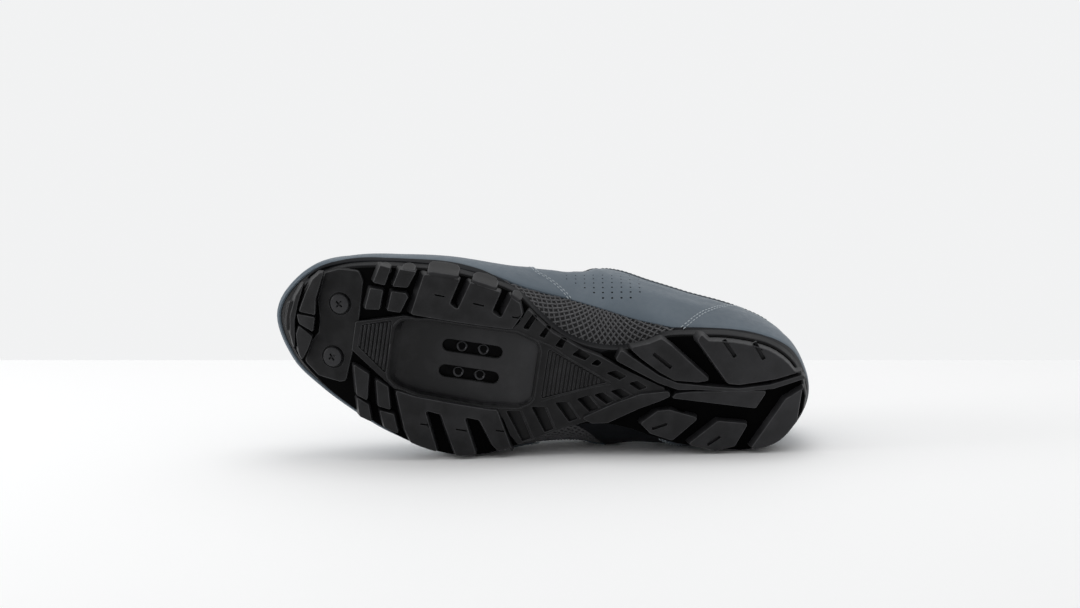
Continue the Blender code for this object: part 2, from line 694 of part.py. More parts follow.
def cut_cleat_bed(plate):
    """The two slots through the pocket's floor and the recess for the nut plate above them."""
    floor = pocket_floor()
    ceiling = max(feather_height(x * LENGTH) for x in (POCKET_BACK, POCKET_FRONT)) + GAP
    for sign in (1, -1):
        centre = cleat_point(0.0, sign * SLOT_SPACING / 2)
        boolean(plate, rounded_bar(centre, SLOT_LENGTH, SLOT_WIDTH, floor - LUG_DEPTH, ceiling), "DIFFERENCE")
    seat = nut_seat()
    centre = cleat_point(0.0, 0.0)
    half_length, half_width = NUT_PLATE_LENGTH / 2 + GAP, NUT_PLATE_WIDTH / 2 + GAP
    outline = [
        (centre.x - half_length, centre.y - half_width), (centre.x + half_length, centre.y - half_width),
        (centre.x + half_length, centre.y + half_width), (centre.x - half_length, centre.y + half_width),
    ]
    recess = prism("recess", outline, [seat] * 4, [ceiling + LUG_DEPTH] * 4)
    boolean(plate, recess, "DIFFERENCE")


def nut_seat():
    """Height of the recess floor that the nut plate lies on."""
    lowest = min(feather_height(x * LENGTH) for x in (POCKET_BACK, CLEAT_ALONG, POCKET_FRONT))
    return lowest - NUT_PLATE_THICKNESS - 2 * GAP


def make_nut_plate(steel):
    """Steel plate above the slots, with four threaded bosses that reach down into them."""
    seat = nut_seat() + GAP
    centre = cleat_point(0.0, 0.0)
    half_length, half_width = NUT_PLATE_LENGTH / 2, NUT_PLATE_WIDTH / 2
    corners = [
        (centre.x - half_length, centre.y - half_width), (centre.x + half_length, centre.y - half_width),
        (centre.x + half_length, centre.y + half_width), (centre.x - half_length, centre.y + half_width),
    ]
    item = prism("nut_plate", corners, [seat] * 4, [seat + NUT_PLATE_THICKNESS] * 4)
    item.data.materials.clear()
    item.data.materials.append(steel)
    foot = pocket_floor() + NUT_SINK
    for side in (1, -1):
        for step in (1, -1):
            place = Matrix.Translation(cleat_point(step * NUT_PITCH / 2, side * SLOT_SPACING / 2))
            top = seat + NUT_PLATE_THICKNESS
            boolean(item, cylinder("boss", NUT_RADIUS, foot, top - FUSE, place), "UNION")
            bore = cylinder("bore", NUT_BORE, foot - FUSE, top + FUSE, place, BORE_SIDES)
            boolean(item, bore, "DIFFERENCE")
    tidy(item)
    return item


def stud_frame(side):
    """Frame of a stud: origin on the stud flat, local Z into the sole."""
    x = STUD_ALONG * LENGTH
    step = LENGTH * 0.01
    slope = (tread_height(x + step) - tread_height(x - step)) / (2 * step)
    tilt = Matrix.Rotation(-math.atan(slope), 4, "Y")
    return Matrix.Translation((x, STUD_ACROSS[side] * BALL_WIDTH, tread_height(x) + STUD_FLAT_DEPTH)) @ tilt


def make_stud(side, steel):
    """Screw plug with a low domed head and a cross recess."""
    place = stud_frame(side)
    name = f"toe_stud_{side}"
    head = cylinder(name, STUD_HEAD_RADIUS, -STUD_HEAD_HEIGHT - GAP, -GAP, place, STUD_SIDES, steel)
    for vertex in head.data.vertices:
        local = place.inverted() @ vertex.co
        if local.z < -STUD_HEAD_HEIGHT:
            vertex.co = place @ Vector((local.x * STUD_CROWN, local.y * STUD_CROWN, local.z))
    shank = cylinder("shank", STUD_SHANK_RADIUS, -GAP - FUSE / 2, STUD_SHANK_LENGTH, place, BORE_SIDES)
    boolean(head, shank, "UNION")
    for turn in (0, 1):
        mesh_data = bmesh.new()
        bmesh.ops.create_cube(mesh_data, size=1.0)
        size = Matrix.Diagonal((STUD_CROSS, STUD_CROSS * STUD_CROSS_WIDTH, STUD_HEAD_HEIGHT, 1.0))
        spin = Matrix.Rotation(math.radians(45 + 90 * turn), 4, "Z")
        shift = Matrix.Translation((0, 0, -STUD_HEAD_HEIGHT - GAP))
        bmesh.ops.transform(mesh_data, matrix=place @ shift @ spin @ size, verts=mesh_data.verts)
        boolean(head, new_object("cross", mesh_data, None), "DIFFERENCE")
    tidy(head)
    return head


def make_forefoot_tread(rubber):
    """Rubber round the cleat pocket and over the toe, cut by its grooves and the stud flat."""
    fork = SPINE[-1].along * LENGTH + GAP
    start = branch_end(FOREFOOT_BRANCH[0] * LENGTH, FOREFOOT_BRANCH[1] * LENGTH, 1)
    rows = []
    for x in spine_marks(start, fork) + stations(fork, (1 - SOLE_TIP) * LENGTH)[1:]:
        is_open = x < fork
        inners = None
        if x <= fork:
            inners = (spine_border("lateral", x) - GAP, spine_border("medial", x) + GAP)
        rows.append(full_row(
            x, tread_height, lambda at: base_height(at) - GAP,
            SIDE_SLOPE + TREAD_TAPER, SIDE_SLOPE, inners, is_open,
        ))
    tread = forked_slab("tread_forefoot", rows, rubber)
    cut_grooves(tread, FOREFOOT_GROOVES)
    flat_outline = [
        (STUD_FLAT_BACK * LENGTH, BALL_WIDTH), (STUD_FLAT_BACK * LENGTH, -BALL_WIDTH),
        (STUD_FLAT_FRONT * LENGTH, -BALL_WIDTH), (STUD_FLAT_FRONT * LENGTH, BALL_WIDTH),
    ]
    low = [tread_height(x) - LUG_DEPTH for x, _ in flat_outline]
    high = [tread_height(x) + STUD_FLAT_DEPTH for x, _ in flat_outline]
    boolean(tread, prism("flat", flat_outline, low, high), "DIFFERENCE")
    for side in STUD_ACROSS:
        bore = cylinder("bore", STUD_SHANK_RADIUS + GAP, -LUG_DEPTH, LUG_DEPTH, stud_frame(side), BORE_SIDES)
        boolean(tread, bore, "DIFFERENCE")
    tidy(tread)
    return tread


def branch_end(start, limit, sign):
    """First place from start towards limit where both branches of a tread are wide enough to mould."""
    x = start
    while (limit - x) * sign > 0:
        medial = edge("medial", x) - SIDE_SLOPE - TREAD_TAPER - spine_border("medial", x) - GAP
        lateral = spine_border("lateral", x) - GAP - edge("lateral", x) - SIDE_SLOPE - TREAD_TAPER
        if min(medial, lateral) > BRANCH_WIDTH:
            return x
        x += BRANCH_STEP * sign
    return limit


def spine_marks(start, end):
    """Sections of the sole between two ends, with the corners of the moulded middle among them."""
    marks = set(stations(start, end))
    corners = [row.along * LENGTH for row in SPINE if start + FUSE < row.along * LENGTH < end - FUSE]
    marks = {
        mark for mark in marks
        if mark in (start, end) or all(abs(mark - corner) > CORNER_CLEARANCE for corner in corners)
    }
    return sorted(marks | set(corners))


def make_heel_tread(rubber):
    """Rubber heel, forked at its front round the moulded middle."""
    fork = SPINE[0].along * LENGTH - GAP
    end = branch_end(HEEL_BRANCH[0] * LENGTH, HEEL_BRANCH[1] * LENGTH, -1)
    rows = []
    for x in stations(SOLE_TIP * LENGTH, fork) + spine_marks(fork, end)[1:]:
        inners = None
        if x >= fork:
            inners = (spine_border("lateral", x) - GAP, spine_border("medial", x) + GAP)
        rows.append(full_row(
            x, tread_height, lambda at: base_height(at) - GAP,
            SIDE_SLOPE + TREAD_TAPER, SIDE_SLOPE, inners, x > fork,
        ))
    tread = forked_slab("tread_heel", rows, rubber)
    cut_grooves(tread, HEEL_GROOVES)
    tidy(tread)
    return tread


def rib_value(position, column):
    return spline([getattr(rib, column) for rib in RIBS], position, closed=True)


def rib_side(position):
    return "medial" if position % RIB_COUNT <= RIB_COUNT / 2 else "lateral"


def rib_foot(position):
    """Foot of a rib and its outward direction, on a smooth ring through the table's feet."""
    feet, ways = rib_feet()
    x, y = (spline([p[axis] for p in feet], position, closed=True) for axis in range(2))
    way = Vector([spline([w[axis] for w in ways], position, closed=True) for axis in range(3)]).normalized()
    return Vector((x, y, feather_height(x) + GAP)), way


_FEET = []


def rib_feet():
    if not _FEET:
        feet, ways = [], []
        for index, rib in enumerate(RIBS):
            side = rib_side(index)
            x = min(max(rib.along * LENGTH, 0.0), LENGTH)
            feet.append(inset_point(side, x, FOOT_INSET))
            ways.append(outward(side, x))
        _FEET.extend((feet, ways))
    return _FEET


def rib_handles(position):
    """The four control points of a rib."""
    foot, way = rib_foot(position)
    rim = Vector((
        rib_value(position, "rim_along") * LENGTH,
        rib_value(position, "rim_across") * BALL_WIDTH,
        rib_value(position, "collar") * COLLAR_HEIGHT + rib_value(position, "instep") * INSTEP_HEIGHT,
    ))
    low = foot + way * rib_value(position, "flare") * BALL_WIDTH
    low.z += rib_value(position, "lift") * INSTEP_HEIGHT
    high = rim + way * rib_value(position, "swell") * BALL_WIDTH
    high.z -= rib_value(position, "drop") * INSTEP_HEIGHT
    return foot, low, high, rim


def surface_point(position, share):
    foot, low, high, rim = rib_handles(position)
    rest = 1 - share
    return foot * rest ** 3 + low * 3 * rest ** 2 * share + high * 3 * rest * share ** 2 + rim * share ** 3


def surface_normal(position, share):
    """Outward normal of the upper's base surface."""
    low, high = max(share - NORMAL_STEP, 0.0), min(share + NORMAL_STEP, 1.0)
    around = surface_point(position + RIB_STEP, share) - surface_point(position - RIB_STEP, share)
    up = surface_point(position, high) - surface_point(position, low)
    return up.cross(around).normalized()


def offset_point(position, share, distance):
    return surface_point(position, share) + surface_normal(position, share) * distance


def padding(position, share):
    rise = min(max((share - PADDING_START) / PADDING_SPAN, 0.0), 1.0)
    return PADDING * rib_value(position, "pad") * rise * rise * (3 - 2 * rise)


def make_upper(synthetic):
    """Hollow upper: outer skin with panel and edge-band steps, rolled rim, padded inner skin."""
    count = RIB_COUNT * STATIONS_PER_RIB
    mesh_data = bmesh.new()
    loops = []
    for kind in range(WALL_RINGS):
        ring = [upper_ring_point(k / STATIONS_PER_RIB, kind) for k in range(count)]
        loops.append([mesh_data.verts.new(point) for point in ring])
    for ring, following in zip(loops, loops[1:] + loops[:1]):
        for k in range(count):
            n = (k + 1) % count
            mesh_data.faces.new((ring[k], ring[n], following[n], following[k]))
    upper = new_object("upper", mesh_data, synthetic)
    for rib in EYELET_RIBS:
        for side in (1, -1):
            place = eyelet_frame(rib, side)
            hole = cylinder("hole", EYELET_BARREL + GAP, -4 * WALL, 3 * WALL, place, BORE_SIDES)
            boolean(upper, hole, "DIFFERENCE")
    tidy(upper)
    return upper


def upper_ring_point(position, kind):
    """Point of one of the rings that make the wall, from the outer foot over the rim to the inner foot."""
    panel = rib_value(position, "panel")
    cuff = rib_value(position, "cuff")
    fill = [panel + (cuff - panel) * share for share in (0.2, 0.4, 0.6, 0.8)]
    outer = (
        [(0.0, 0.0), (panel / 2, 0.0), (panel, 0.0), (panel + STEP_SHARE, PANEL_STEP)]
        + [(share, PANEL_STEP) for share in fill]
        + [(cuff, PANEL_STEP), (cuff + STEP_SHARE, PANEL_STEP + CUFF_STEP), (1.0, PANEL_STEP + CUFF_STEP)]
    )
    if kind < len(outer):
        return offset_point(position, *outer[kind])
    if kind == len(outer):
        top = surface_point(position, 1.0)
        lean = (top - surface_point(position, 1.0 - NORMAL_STEP)).normalized()
        pad = padding(position, 1.0)
        half = (PANEL_STEP + CUFF_STEP - WALL - pad) / 2
        return top + surface_normal(position, 1.0) * half + lean * (WALL / 2 + pad * COLLAR_ROLL)
    shares = [1.0, cuff] + fill[::-1][:3] + [fill[0], panel, 0.0]
    share = shares[kind - len(outer) - 1]
    return offset_point(position, share, -WALL - padding(position, share))


def eyelet_frame(rib, side):
    """Frame of an eyelet: origin on the edge band, local Z outwards; side 1 is medial."""
    position = rib if side > 0 else RIB_COUNT - rib
    tenth = (surface_point(position, 1.0) - surface_point(position, 0.9)).length
    share = 1.0 - 0.1 * EYELET_EDGE / tenth
    normal = surface_normal(position, share)
    origin = surface_point(position, share) + normal * (PANEL_STEP + CUFF_STEP)
    return Matrix.Translation(origin) @ normal.to_track_quat("Z", "Y").to_matrix().to_4x4()


def make_eyelet(name, rib, side, steel):
    """Flanged ring: the flange on the edge band, the barrel down through the wall."""
    place = eyelet_frame(rib, side)
    seat = 2 * GAP
    depth = WALL + PANEL_STEP + CUFF_STEP
    profile = [
        (EYELET_BORE, -depth), (EYELET_BARREL, -depth), (EYELET_BARREL, seat), (EYELET_RADIUS, seat),
        (EYELET_RADIUS - EYELET_FLANGE / 2, seat + EYELET_FLANGE), (EYELET_BORE, seat + EYELET_FLANGE),
    ]
    mesh_data = bmesh.new()
    angles = [2 * math.pi * k / BORE_SIDES for k in range(BORE_SIDES)]
    rings = []
    for radius, height in profile:
        ring = [Vector((radius * math.cos(angle), radius * math.sin(angle), height)) for angle in angles]
        rings.append([mesh_data.verts.new(place @ point) for point in ring])
    for ring, following in zip(rings, rings[1:] + rings[:1]):
        for k in range(BORE_SIDES):
            n = (k + 1) % BORE_SIDES
            mesh_data.faces.new((ring[k], ring[n], following[n], following[k]))
    return new_object(name, mesh_data, steel)


def tube(name, points, radius, surface):
    """Closed round tube along points, with flat ends."""
    mesh_data = bmesh.new()
    rings = []
    side = None
    for index, point in enumerate(points):
        ahead = points[min(index + 1, len(points) - 1)]
        behind = points[max(index - 1, 0)]
        tangent = (ahead - behind).normalized()
        side = (side - tangent * side.dot(tangent)).normalized() if side else tangent.orthogonal().normalized()
        other = tangent.cross(side)
        rings.append([
            mesh_data.verts.new(point + (side * math.cos(angle) + other * math.sin(angle)) * radius)
            for angle in (2 * math.pi * k / LACE_SIDES for k in range(LACE_SIDES))
        ])
    for ring, following in zip(rings, rings[1:]):
        for k in range(LACE_SIDES):
            n = (k + 1) % LACE_SIDES
            mesh_data.faces.new((ring[k], ring[n], following[n], following[k]))
    mesh_data.faces.new(rings[0])
    mesh_data.faces.new(rings[-1])
    return new_object(name, mesh_data, surface)


def lace_run(medial_rib, lateral_rib):
    """Centre line of one run of the lace, from a medial eyelet over the tongue to a lateral one.

    Of two runs that cross, the one that rises towards the lateral side lies over the other.
    """
    rise = EYELET_FLANGE + 4 * GAP + LACE_RADIUS
    knots = [eyelet_frame(medial_rib, 1) @ Vector((0, 0, rise))]
    cover = PANEL_STEP + CUFF_STEP + rise
    lean = (lateral_rib - medial_rib) * LACE_LEAN
    knots.append(offset_point(medial_rib + lean, 1.0, cover))
    lateral_knot = offset_point(RIB_COUNT - lateral_rib + lean, 1.0, cover)
    middle = (knots[-1] + lateral_knot) / 2
    middle.z += LACE_RADIUS * (1 + LACE_CLIMB if medial_rib > lateral_rib else 1)
    knots += [middle, lateral_knot, eyelet_frame(lateral_rib, -1) @ Vector((0, 0, rise))]
    points = []
    for k in range(LACE_STEPS + 1):
        position = (len(knots) - 1) * k / LACE_STEPS
        points.append(Vector([spline([p[axis] for p in knots], position) for axis in range(3)]))
    return points


def lace_bend(rib, side):
    """Rounded bend of the lace over an eyelet, a little thicker than the lace."""
    mesh_data = bmesh.new()
    place = eyelet_frame(rib, side) @ Matrix.Translation((0, 0, EYELET_FLANGE + 4 * GAP + LACE_RADIUS))
    bmesh.ops.create_icosphere(mesh_data, subdivisions=2, radius=LACE_RADIUS + GAP, matrix=place)
    return new_object("bend", mesh_data, None)


def make_lace(textile):
    """The lace's crossings over the tongue, joined where they cross and by a bend at each eyelet."""
    runs = [(EYELET_RIBS[-1], EYELET_RIBS[-1])]
    for upper_rib, lower_rib in zip(EYELET_RIBS, EYELET_RIBS[1:]):
        runs += [(lower_rib, upper_rib), (upper_rib, lower_rib)]
    lace = None
    for medial_rib, lateral_rib in runs:
        run = tube("lace", lace_run(medial_rib, lateral_rib), LACE_RADIUS, textile)
        if lace is None:
            lace = run
        else:
            boolean(lace, run, "UNION")
    for rib in EYELET_RIBS:
        for side in (1, -1):
            boolean(lace, lace_bend(rib, side), "UNION")
    lace.name = "lace"
    tidy(lace)
    return lace


def tongue_rows():
    """Top surface of the tongue, a row of points for each section."""
    depth = -(WALL + GAP * 4)
    shares = (TONGUE_REACH, (TONGUE_REACH + 1) / 2, 1.0)
    rows = []
    for rib in TONGUE_RIBS:
        medial = [offset_point(rib, share, depth - padding(rib, share)) for share in shares]
        partner = RIB_COUNT - rib
        lateral = [offset_point(partner, share, depth - padding(partner, share)) for share in shares[::-1]]
        crown = []
        for share in (0.25, 0.5, 0.75):
            point = medial[-1].lerp(lateral[0], share)
            point.z += TONGUE_CROWN * 4 * share * (1 - share)
            crown.append(point)
        rows.append(medial + crown + lateral)
    corner = (surface_point(7, 1.0) + surface_point(RIB_COUNT - 7, 1.0)) / 2
    for ear in EARS:
        row = []
        for k in range(9):
            share = 1 - k / 4
            row.append(Vector((
                corner.x - ear.back * LENGTH,
                corner.y + ear.half * BALL_WIDTH * share,
                corner.z + ear.rise * INSTEP_HEIGHT - ear.droop * BALL_WIDTH * share * share,
            )))
        rows.append(row)
    return rows


def grid_solid(name, rows, thickness, surface):
    """Closed sheet under a grid of points, thinner along its edges."""
    columns = len(rows[0])
    normals = []
    for i, row in enumerate(rows):
        line = []
        for k in range(columns):
            along = rows[min(i + 1, len(rows) - 1)][k] - rows[max(i - 1, 0)][k]
            across = row[min(k + 1, columns - 1)] - row[max(k - 1, 0)]
            normal = along.cross(across).normalized()
            line.append(normal if normal.z > 0 else -normal)
        normals.append(line)
    mesh_data = bmesh.new()
    top = [[mesh_data.verts.new(p) for p in row] for row in rows]
    bottom = []
    for i, row in enumerate(rows):
        line = []
        for k, point in enumerate(row):
            at_edge = k in (0, columns - 1) or i in (0, len(rows) - 1)
            line.append(mesh_data.verts.new(point - normals[i][k] * thickness * (0.5 if at_edge else 1.0)))
        bottom.append(line)
    for i in range(len(rows) - 1):
        for k in range(columns - 1):
            for sheet in (top, bottom):
                mesh_data.faces.new((sheet[i][k], sheet[i][k + 1], sheet[i + 1][k + 1], sheet[i + 1][k]))
    last_row, last_column = len(rows) - 1, columns - 1
    border = [(0, k) for k in range(last_column)] + [(i, last_column) for i in range(last_row)]
    border += [(last_row, k) for k in range(last_column, 0, -1)] + [(i, 0) for i in range(last_row, 0, -1)]
    for (i, k), (j, n) in zip(border, border[1:] + border[:1]):
        mesh_data.faces.new((top[i][k], top[j][n], bottom[j][n], bottom[i][k]))
    return new_object(name, mesh_data, surface)


def make_insole(foam):
    """Loose liner that covers the sole inside the upper."""
    inset = FOOT_INSET + WALL + 4 * GAP
    start, end = inset + FUSE, LENGTH - inset - FUSE
    rows = [
        full_row(
            x, lambda at: feather_height(at) + GAP, lambda at: feather_height(at) + GAP + INSOLE_THICKNESS,
            inset, inset, None, False,
        )
        for x in stations(start, end)
    ]
    return forked_slab("insole", rows, foam)


def signed_volume(item):
    """Volume of a solid and its first moment."""
    volume, moment = 0.0, Vector()
    item.data.calc_loop_triangles()
    vertices = item.data.vertices
    for triangle in item.data.loop_triangles:
        a, b, c = (vertices[i].co for i in triangle.vertices)
        part = a.dot(b.cross(c)) / 6
        volume += part
        moment += part * (a + b + c) / 4
    return volume, moment


def balance_point(items):
    mass, moment = 0.0, Vector()
    for item, kind in items:
        volume, first = signed_volume(item)
        mass += volume * DENSITY[kind]
        moment += first * DENSITY[kind]
    return moment / mass


def resting_side(items):
    """Outward normal of the flat that the shoe rests on when it lies on its lateral side."""
    centre = balance_point(items)
    hull = bmesh.new()
    for item, _ in items:
        for vertex in item.data.vertices:
            hull.verts.new(vertex.co)
    found = bmesh.ops.convex_hull(hull, input=hull.verts, use_existing_faces=False)
    faces = [f for f in found["geom"] if isinstance(f, bmesh.types.BMFace)]
    best, best_score = Vector((0, -1, 0)), -1.0
    for face in faces:
        normal = face.normal.copy()
        a, b, c = (v.co.copy() for v in face.verts[:3])
        if normal.dot(a - centre) < 0:
            normal.negate()
        foot = centre + normal * normal.dot(a - centre)
        turns = [
            (q - p).cross(foot - p).dot(normal) for p, q in ((a, b), (b, c), (c, a))
        ]
        inside = all(turn >= 0 for turn in turns) or all(turn <= 0 for turn in turns)
        if inside and -normal.y > best_score:
            best, best_score = normal, -normal.y
    hull.free()
    return best


def lay_down(items):
    """Parents every piece to an empty that turns the shoe to its rest and centres it on the floor."""
    side = resting_side(items)
    turn = Matrix(((-1, 0, 0), (0, 0, 1), (0, 1, 0)))
    settle = (turn @ side).rotation_difference(Vector((0, 0, -1))).to_matrix()
    rotation = settle @ turn
    corners = [rotation @ v.co for item, _ in items for v in item.data.vertices]
    low = [min(c[axis] for c in corners) for axis in range(3)]
    high = [max(c[axis] for c in corners) for axis in range(3)]
    frame = bpy.data.objects.new("shoe_frame", None)
    bpy.context.scene.collection.objects.link(frame)
    shift = Vector((-(low[0] + high[0]) / 2, -(low[1] + high[1]) / 2, -low[2]))
    frame.matrix_world = Matrix.Translation(shift) @ rotation.to_4x4()
    for item, _ in items:
        item.parent = frame
    bpy.context.view_layer.update()


def main():
    for item in list(bpy.data.objects):
        bpy.data.objects.remove(item, do_unlink=True)
    nylon = material("nylon_black", (0.030, 0.031, 0.033), 0.55)
    rubber = material("rubber_black", (0.036, 0.037, 0.040), 0.60)
    synthetic = material("synthetic_slate", (0.125, 0.150, 0.170), 0.48)
    lining = material("textile_black", (0.012, 0.012, 0.013), 0.85)
    foam = material("foam_grey", (0.050, 0.052, 0.056), 0.90)
    steel = material("steel_dark", (0.200, 0.200, 0.205), 0.35, 1.0)
    lace_black = material("lace_black", (0.014, 0.014, 0.016), 0.80)

    items = [
        (make_plate(nylon), "nylon"),
        (make_forefoot_tread(rubber), "rubber"),
        (make_heel_tread(rubber), "rubber"),
        (make_nut_plate(steel), "steel"),
        (make_upper(synthetic), "synthetic"),
        (grid_solid("tongue", tongue_rows(), TONGUE_THICKNESS, lining), "foam"),
        (make_insole(foam), "foam"),
        (make_lace(lace_black), "textile"),
    ]
    for side in STUD_ACROSS:
        items.append((make_stud(side, steel), "steel"))
    for number, rib in enumerate(EYELET_RIBS, start=1):
        for side, word in ((1, "medial"), (-1, "lateral")):
            items.append((make_eyelet(f"eyelet_{word}_{number}", rib, side, steel), "steel"))
    lay_down(items)


main()
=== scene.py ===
# Looks of the cycling shoe. Every piece is modelled in the shoe's own frame, in metres:
# X from heel to toe, Y towards the medial side, Z up from the ground. One placement lays the pieces down.
# Tables of places on the shoe are in millimetres.

import json
import math
from itertools import zip_longest

import bmesh
import bpy
import numpy as np
from mathutils import Matrix, Vector, geometry


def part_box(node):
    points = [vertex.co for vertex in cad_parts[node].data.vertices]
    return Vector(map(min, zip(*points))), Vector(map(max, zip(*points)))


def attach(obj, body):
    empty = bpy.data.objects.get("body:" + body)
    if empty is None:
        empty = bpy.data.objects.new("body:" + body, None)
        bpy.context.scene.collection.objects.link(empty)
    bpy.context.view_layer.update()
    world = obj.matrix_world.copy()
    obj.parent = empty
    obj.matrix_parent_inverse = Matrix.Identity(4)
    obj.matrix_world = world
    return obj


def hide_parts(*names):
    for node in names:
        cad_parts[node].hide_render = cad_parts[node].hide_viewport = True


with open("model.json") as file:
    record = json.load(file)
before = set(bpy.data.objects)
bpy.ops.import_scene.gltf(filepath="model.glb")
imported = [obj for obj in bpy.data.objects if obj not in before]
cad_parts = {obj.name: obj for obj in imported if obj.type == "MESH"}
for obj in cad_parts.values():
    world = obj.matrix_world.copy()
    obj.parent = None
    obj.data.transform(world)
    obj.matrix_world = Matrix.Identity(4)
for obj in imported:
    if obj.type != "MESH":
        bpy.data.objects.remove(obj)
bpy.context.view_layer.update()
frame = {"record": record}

MM = 0.001

# Driving sizes, as the solids have them
LENGTH = 0.282
BALL_WIDTH = 0.101
COLLAR_HEIGHT = 0.082
INSTEP_HEIGHT = 0.092
TOE_SPRING = 0.020
ARCH_RISE = 0.006
HEEL_BEVEL = 0.003
LUG_DEPTH = 0.008
SIDE_HEIGHT = 0.0048
SIDE_SLOPE = 0.0015
TREAD_TAPER = 0.0015
SPINE_DROP = 0.0022
GROOVE_FLOOR = 0.0022
STUD_FLAT_DEPTH = 0.0038
SLOT_SPACING = 0.014
SLOT_LENGTH = 0.032
SLOT_WIDTH = 0.0066
CLEAT_ALONG = 0.635
CLEAT_ACROSS = -0.070
STUD_ALONG = 0.892
STUD_ACROSS = {"medial": 0.122, "lateral": -0.166}
WALL = 0.0022
PANEL_STEP = 0.0007
CUFF_STEP = 0.0007
PADDING = 0.0034
PADDING_START = 0.62
PADDING_SPAN = 0.30
FOOT_INSET = 0.0015
TONGUE_THICKNESS = 0.0040
TONGUE_CROWN = 0.0040
TONGUE_REACH = 0.90
INSOLE_THICKNESS = 0.0040
LACE_LEAN = 0.22
EYELET_EDGE = 0.0056
GAP = 0.0003

# How the photo sees the sole: the across axis leans by this angle, about this height in millimetres
VIEW_LEAN = math.radians(13.0)
VIEW_ROLL = math.radians(8.5)
VIEW_HEIGHT = 15.0

# Sole outline at the feather line, in shares of LENGTH and BALL_WIDTH: along, medial, lateral
OUTLINE = [
    (0.000, -0.030, -0.030), (0.014, 0.104, -0.163), (0.043, 0.208, -0.267), (0.092, 0.275, -0.327),
    (0.160, 0.289, -0.349), (0.227, 0.267, -0.356), (0.284, 0.233, -0.337), (0.326, 0.158, -0.317),
    (0.376, 0.112, -0.319), (0.426, 0.111, -0.356), (0.475, 0.154, -0.426), (0.525, 0.248, -0.500),
    (0.567, 0.337, -0.554), (0.631, 0.386, -0.594), (0.702, 0.406, -0.577), (0.780, 0.391, -0.510),
    (0.851, 0.359, -0.426), (0.908, 0.307, -0.342), (0.957, 0.216, -0.243), (0.986, 0.114, -0.139),
    (1.000, -0.010, -0.010),
]

# Sole heights: along, then the shares of TOE_SPRING, ARCH_RISE, HEEL_BEVEL, LUG_DEPTH and SIDE_HEIGHT
PROFILE = [
    (0.00, 0.00, 0.00, 1.00, 1.00, 1.00), (0.05, 0.00, 0.00, 0.25, 1.00, 1.10),
    (0.10, 0.00, 0.00, 0.00, 1.00, 1.15), (0.25, 0.00, 0.00, 0.00, 1.00, 1.15),
    (0.32, 0.00, 0.28, 0.00, 1.00, 1.10), (0.40, 0.00, 0.80, 0.00, 0.95, 1.05),
    (0.48, 0.00, 0.85, 0.00, 0.95, 1.00), (0.56, 0.00, 0.35, 0.00, 1.00, 1.00),
    (0.64, 0.00, 0.00, 0.00, 1.00, 1.00), (0.73, 0.01, 0.00, 0.00, 0.95, 1.00),
    (0.80, 0.12, 0.00, 0.00, 0.95, 1.00), (0.87, 0.36, 0.00, 0.00, 0.90, 0.95),
    (0.94, 0.68, 0.00, 0.00, 0.85, 0.90), (1.00, 1.00, 0.00, 0.00, 0.80, 0.85),
]

# Ribs of the upper, from the heel round the medial side to the toe and back: along, flare, lift, rim_along,
# rim_across, collar, instep, swell, drop, panel, cuff, pad
COLUMNS = (
    "along", "flare", "lift", "rim_along", "rim_across", "collar", "instep", "swell", "drop",
    "panel", "cuff", "pad",
)
HEEL_RIB = (0.000, 0.050, 0.27, 0.032, -0.030, 1.00, 0.00, 0.03, 0.25, 0.05, 0.84, 1.0)
MEDIAL_RIBS = [
    (0.012, 0.050, 0.27, 0.041, 0.089, 0.98, 0.00, 0.03, 0.25, 0.05, 0.84, 1.0),
    (0.050, 0.050, 0.27, 0.082, 0.218, 0.92, 0.00, 0.03, 0.23, 0.05, 0.84, 1.0),
    (0.124, 0.055, 0.26, 0.156, 0.292, 0.84, 0.00, 0.04, 0.21, 0.05, 0.84, 1.0),
    (0.213, 0.095, 0.22, 0.245, 0.327, 0.82, 0.00, 0.04, 0.21, 0.05, 0.84, 1.0),
    (0.290, 0.180, 0.14, 0.319, 0.340, 0.46, 0.38, 0.05, 0.24, 0.09, 0.84, 0.9),
    (0.355, 0.290, 0.10, 0.377, 0.335, 0.22, 0.69, 0.07, 0.26, 0.17, 0.84, 0.7),
    (0.418, 0.310, 0.10, 0.422, 0.285, 0.00, 0.98, 0.14, 0.26, 0.19, 0.83, 0.4),
    (0.489, 0.260, 0.11, 0.468, 0.195, 0.00, 0.97, 0.24, 0.23, 0.17, 0.82, 0.1),
    (0.550, 0.120, 0.16, 0.514, 0.134, 0.00, 0.91, 0.31, 0.19, 0.08, 0.82, 0.0),
    (0.631, 0.060, 0.19, 0.560, 0.090, 0.00, 0.835, 0.31, 0.13, 0.05, 0.82, 0.0),
    (0.727, 0.060, 0.21, 0.603, 0.059, 0.00, 0.76, 0.32, 0.10, 0.05, 0.83, 0.0),
    (0.823, 0.060, 0.21, 0.635, 0.030, 0.00, 0.71, 0.32, 0.07, 0.05, 0.84, 0.0),
    (0.901, 0.055, 0.21, 0.656, -0.005, 0.00, 0.68, 0.38, 0.06, 0.05, 0.86, 0.0),
    (0.957, 0.050, 0.20, 0.667, -0.040, 0.00, 0.667, 0.48, 0.05, 0.05, 0.88, 0.0),
]
TOE_RIB = (1.000, 0.045, 0.20, 0.670, -0.080, 0.00, 0.66, 0.52, 0.04, 0.05, 0.89, 0.0)
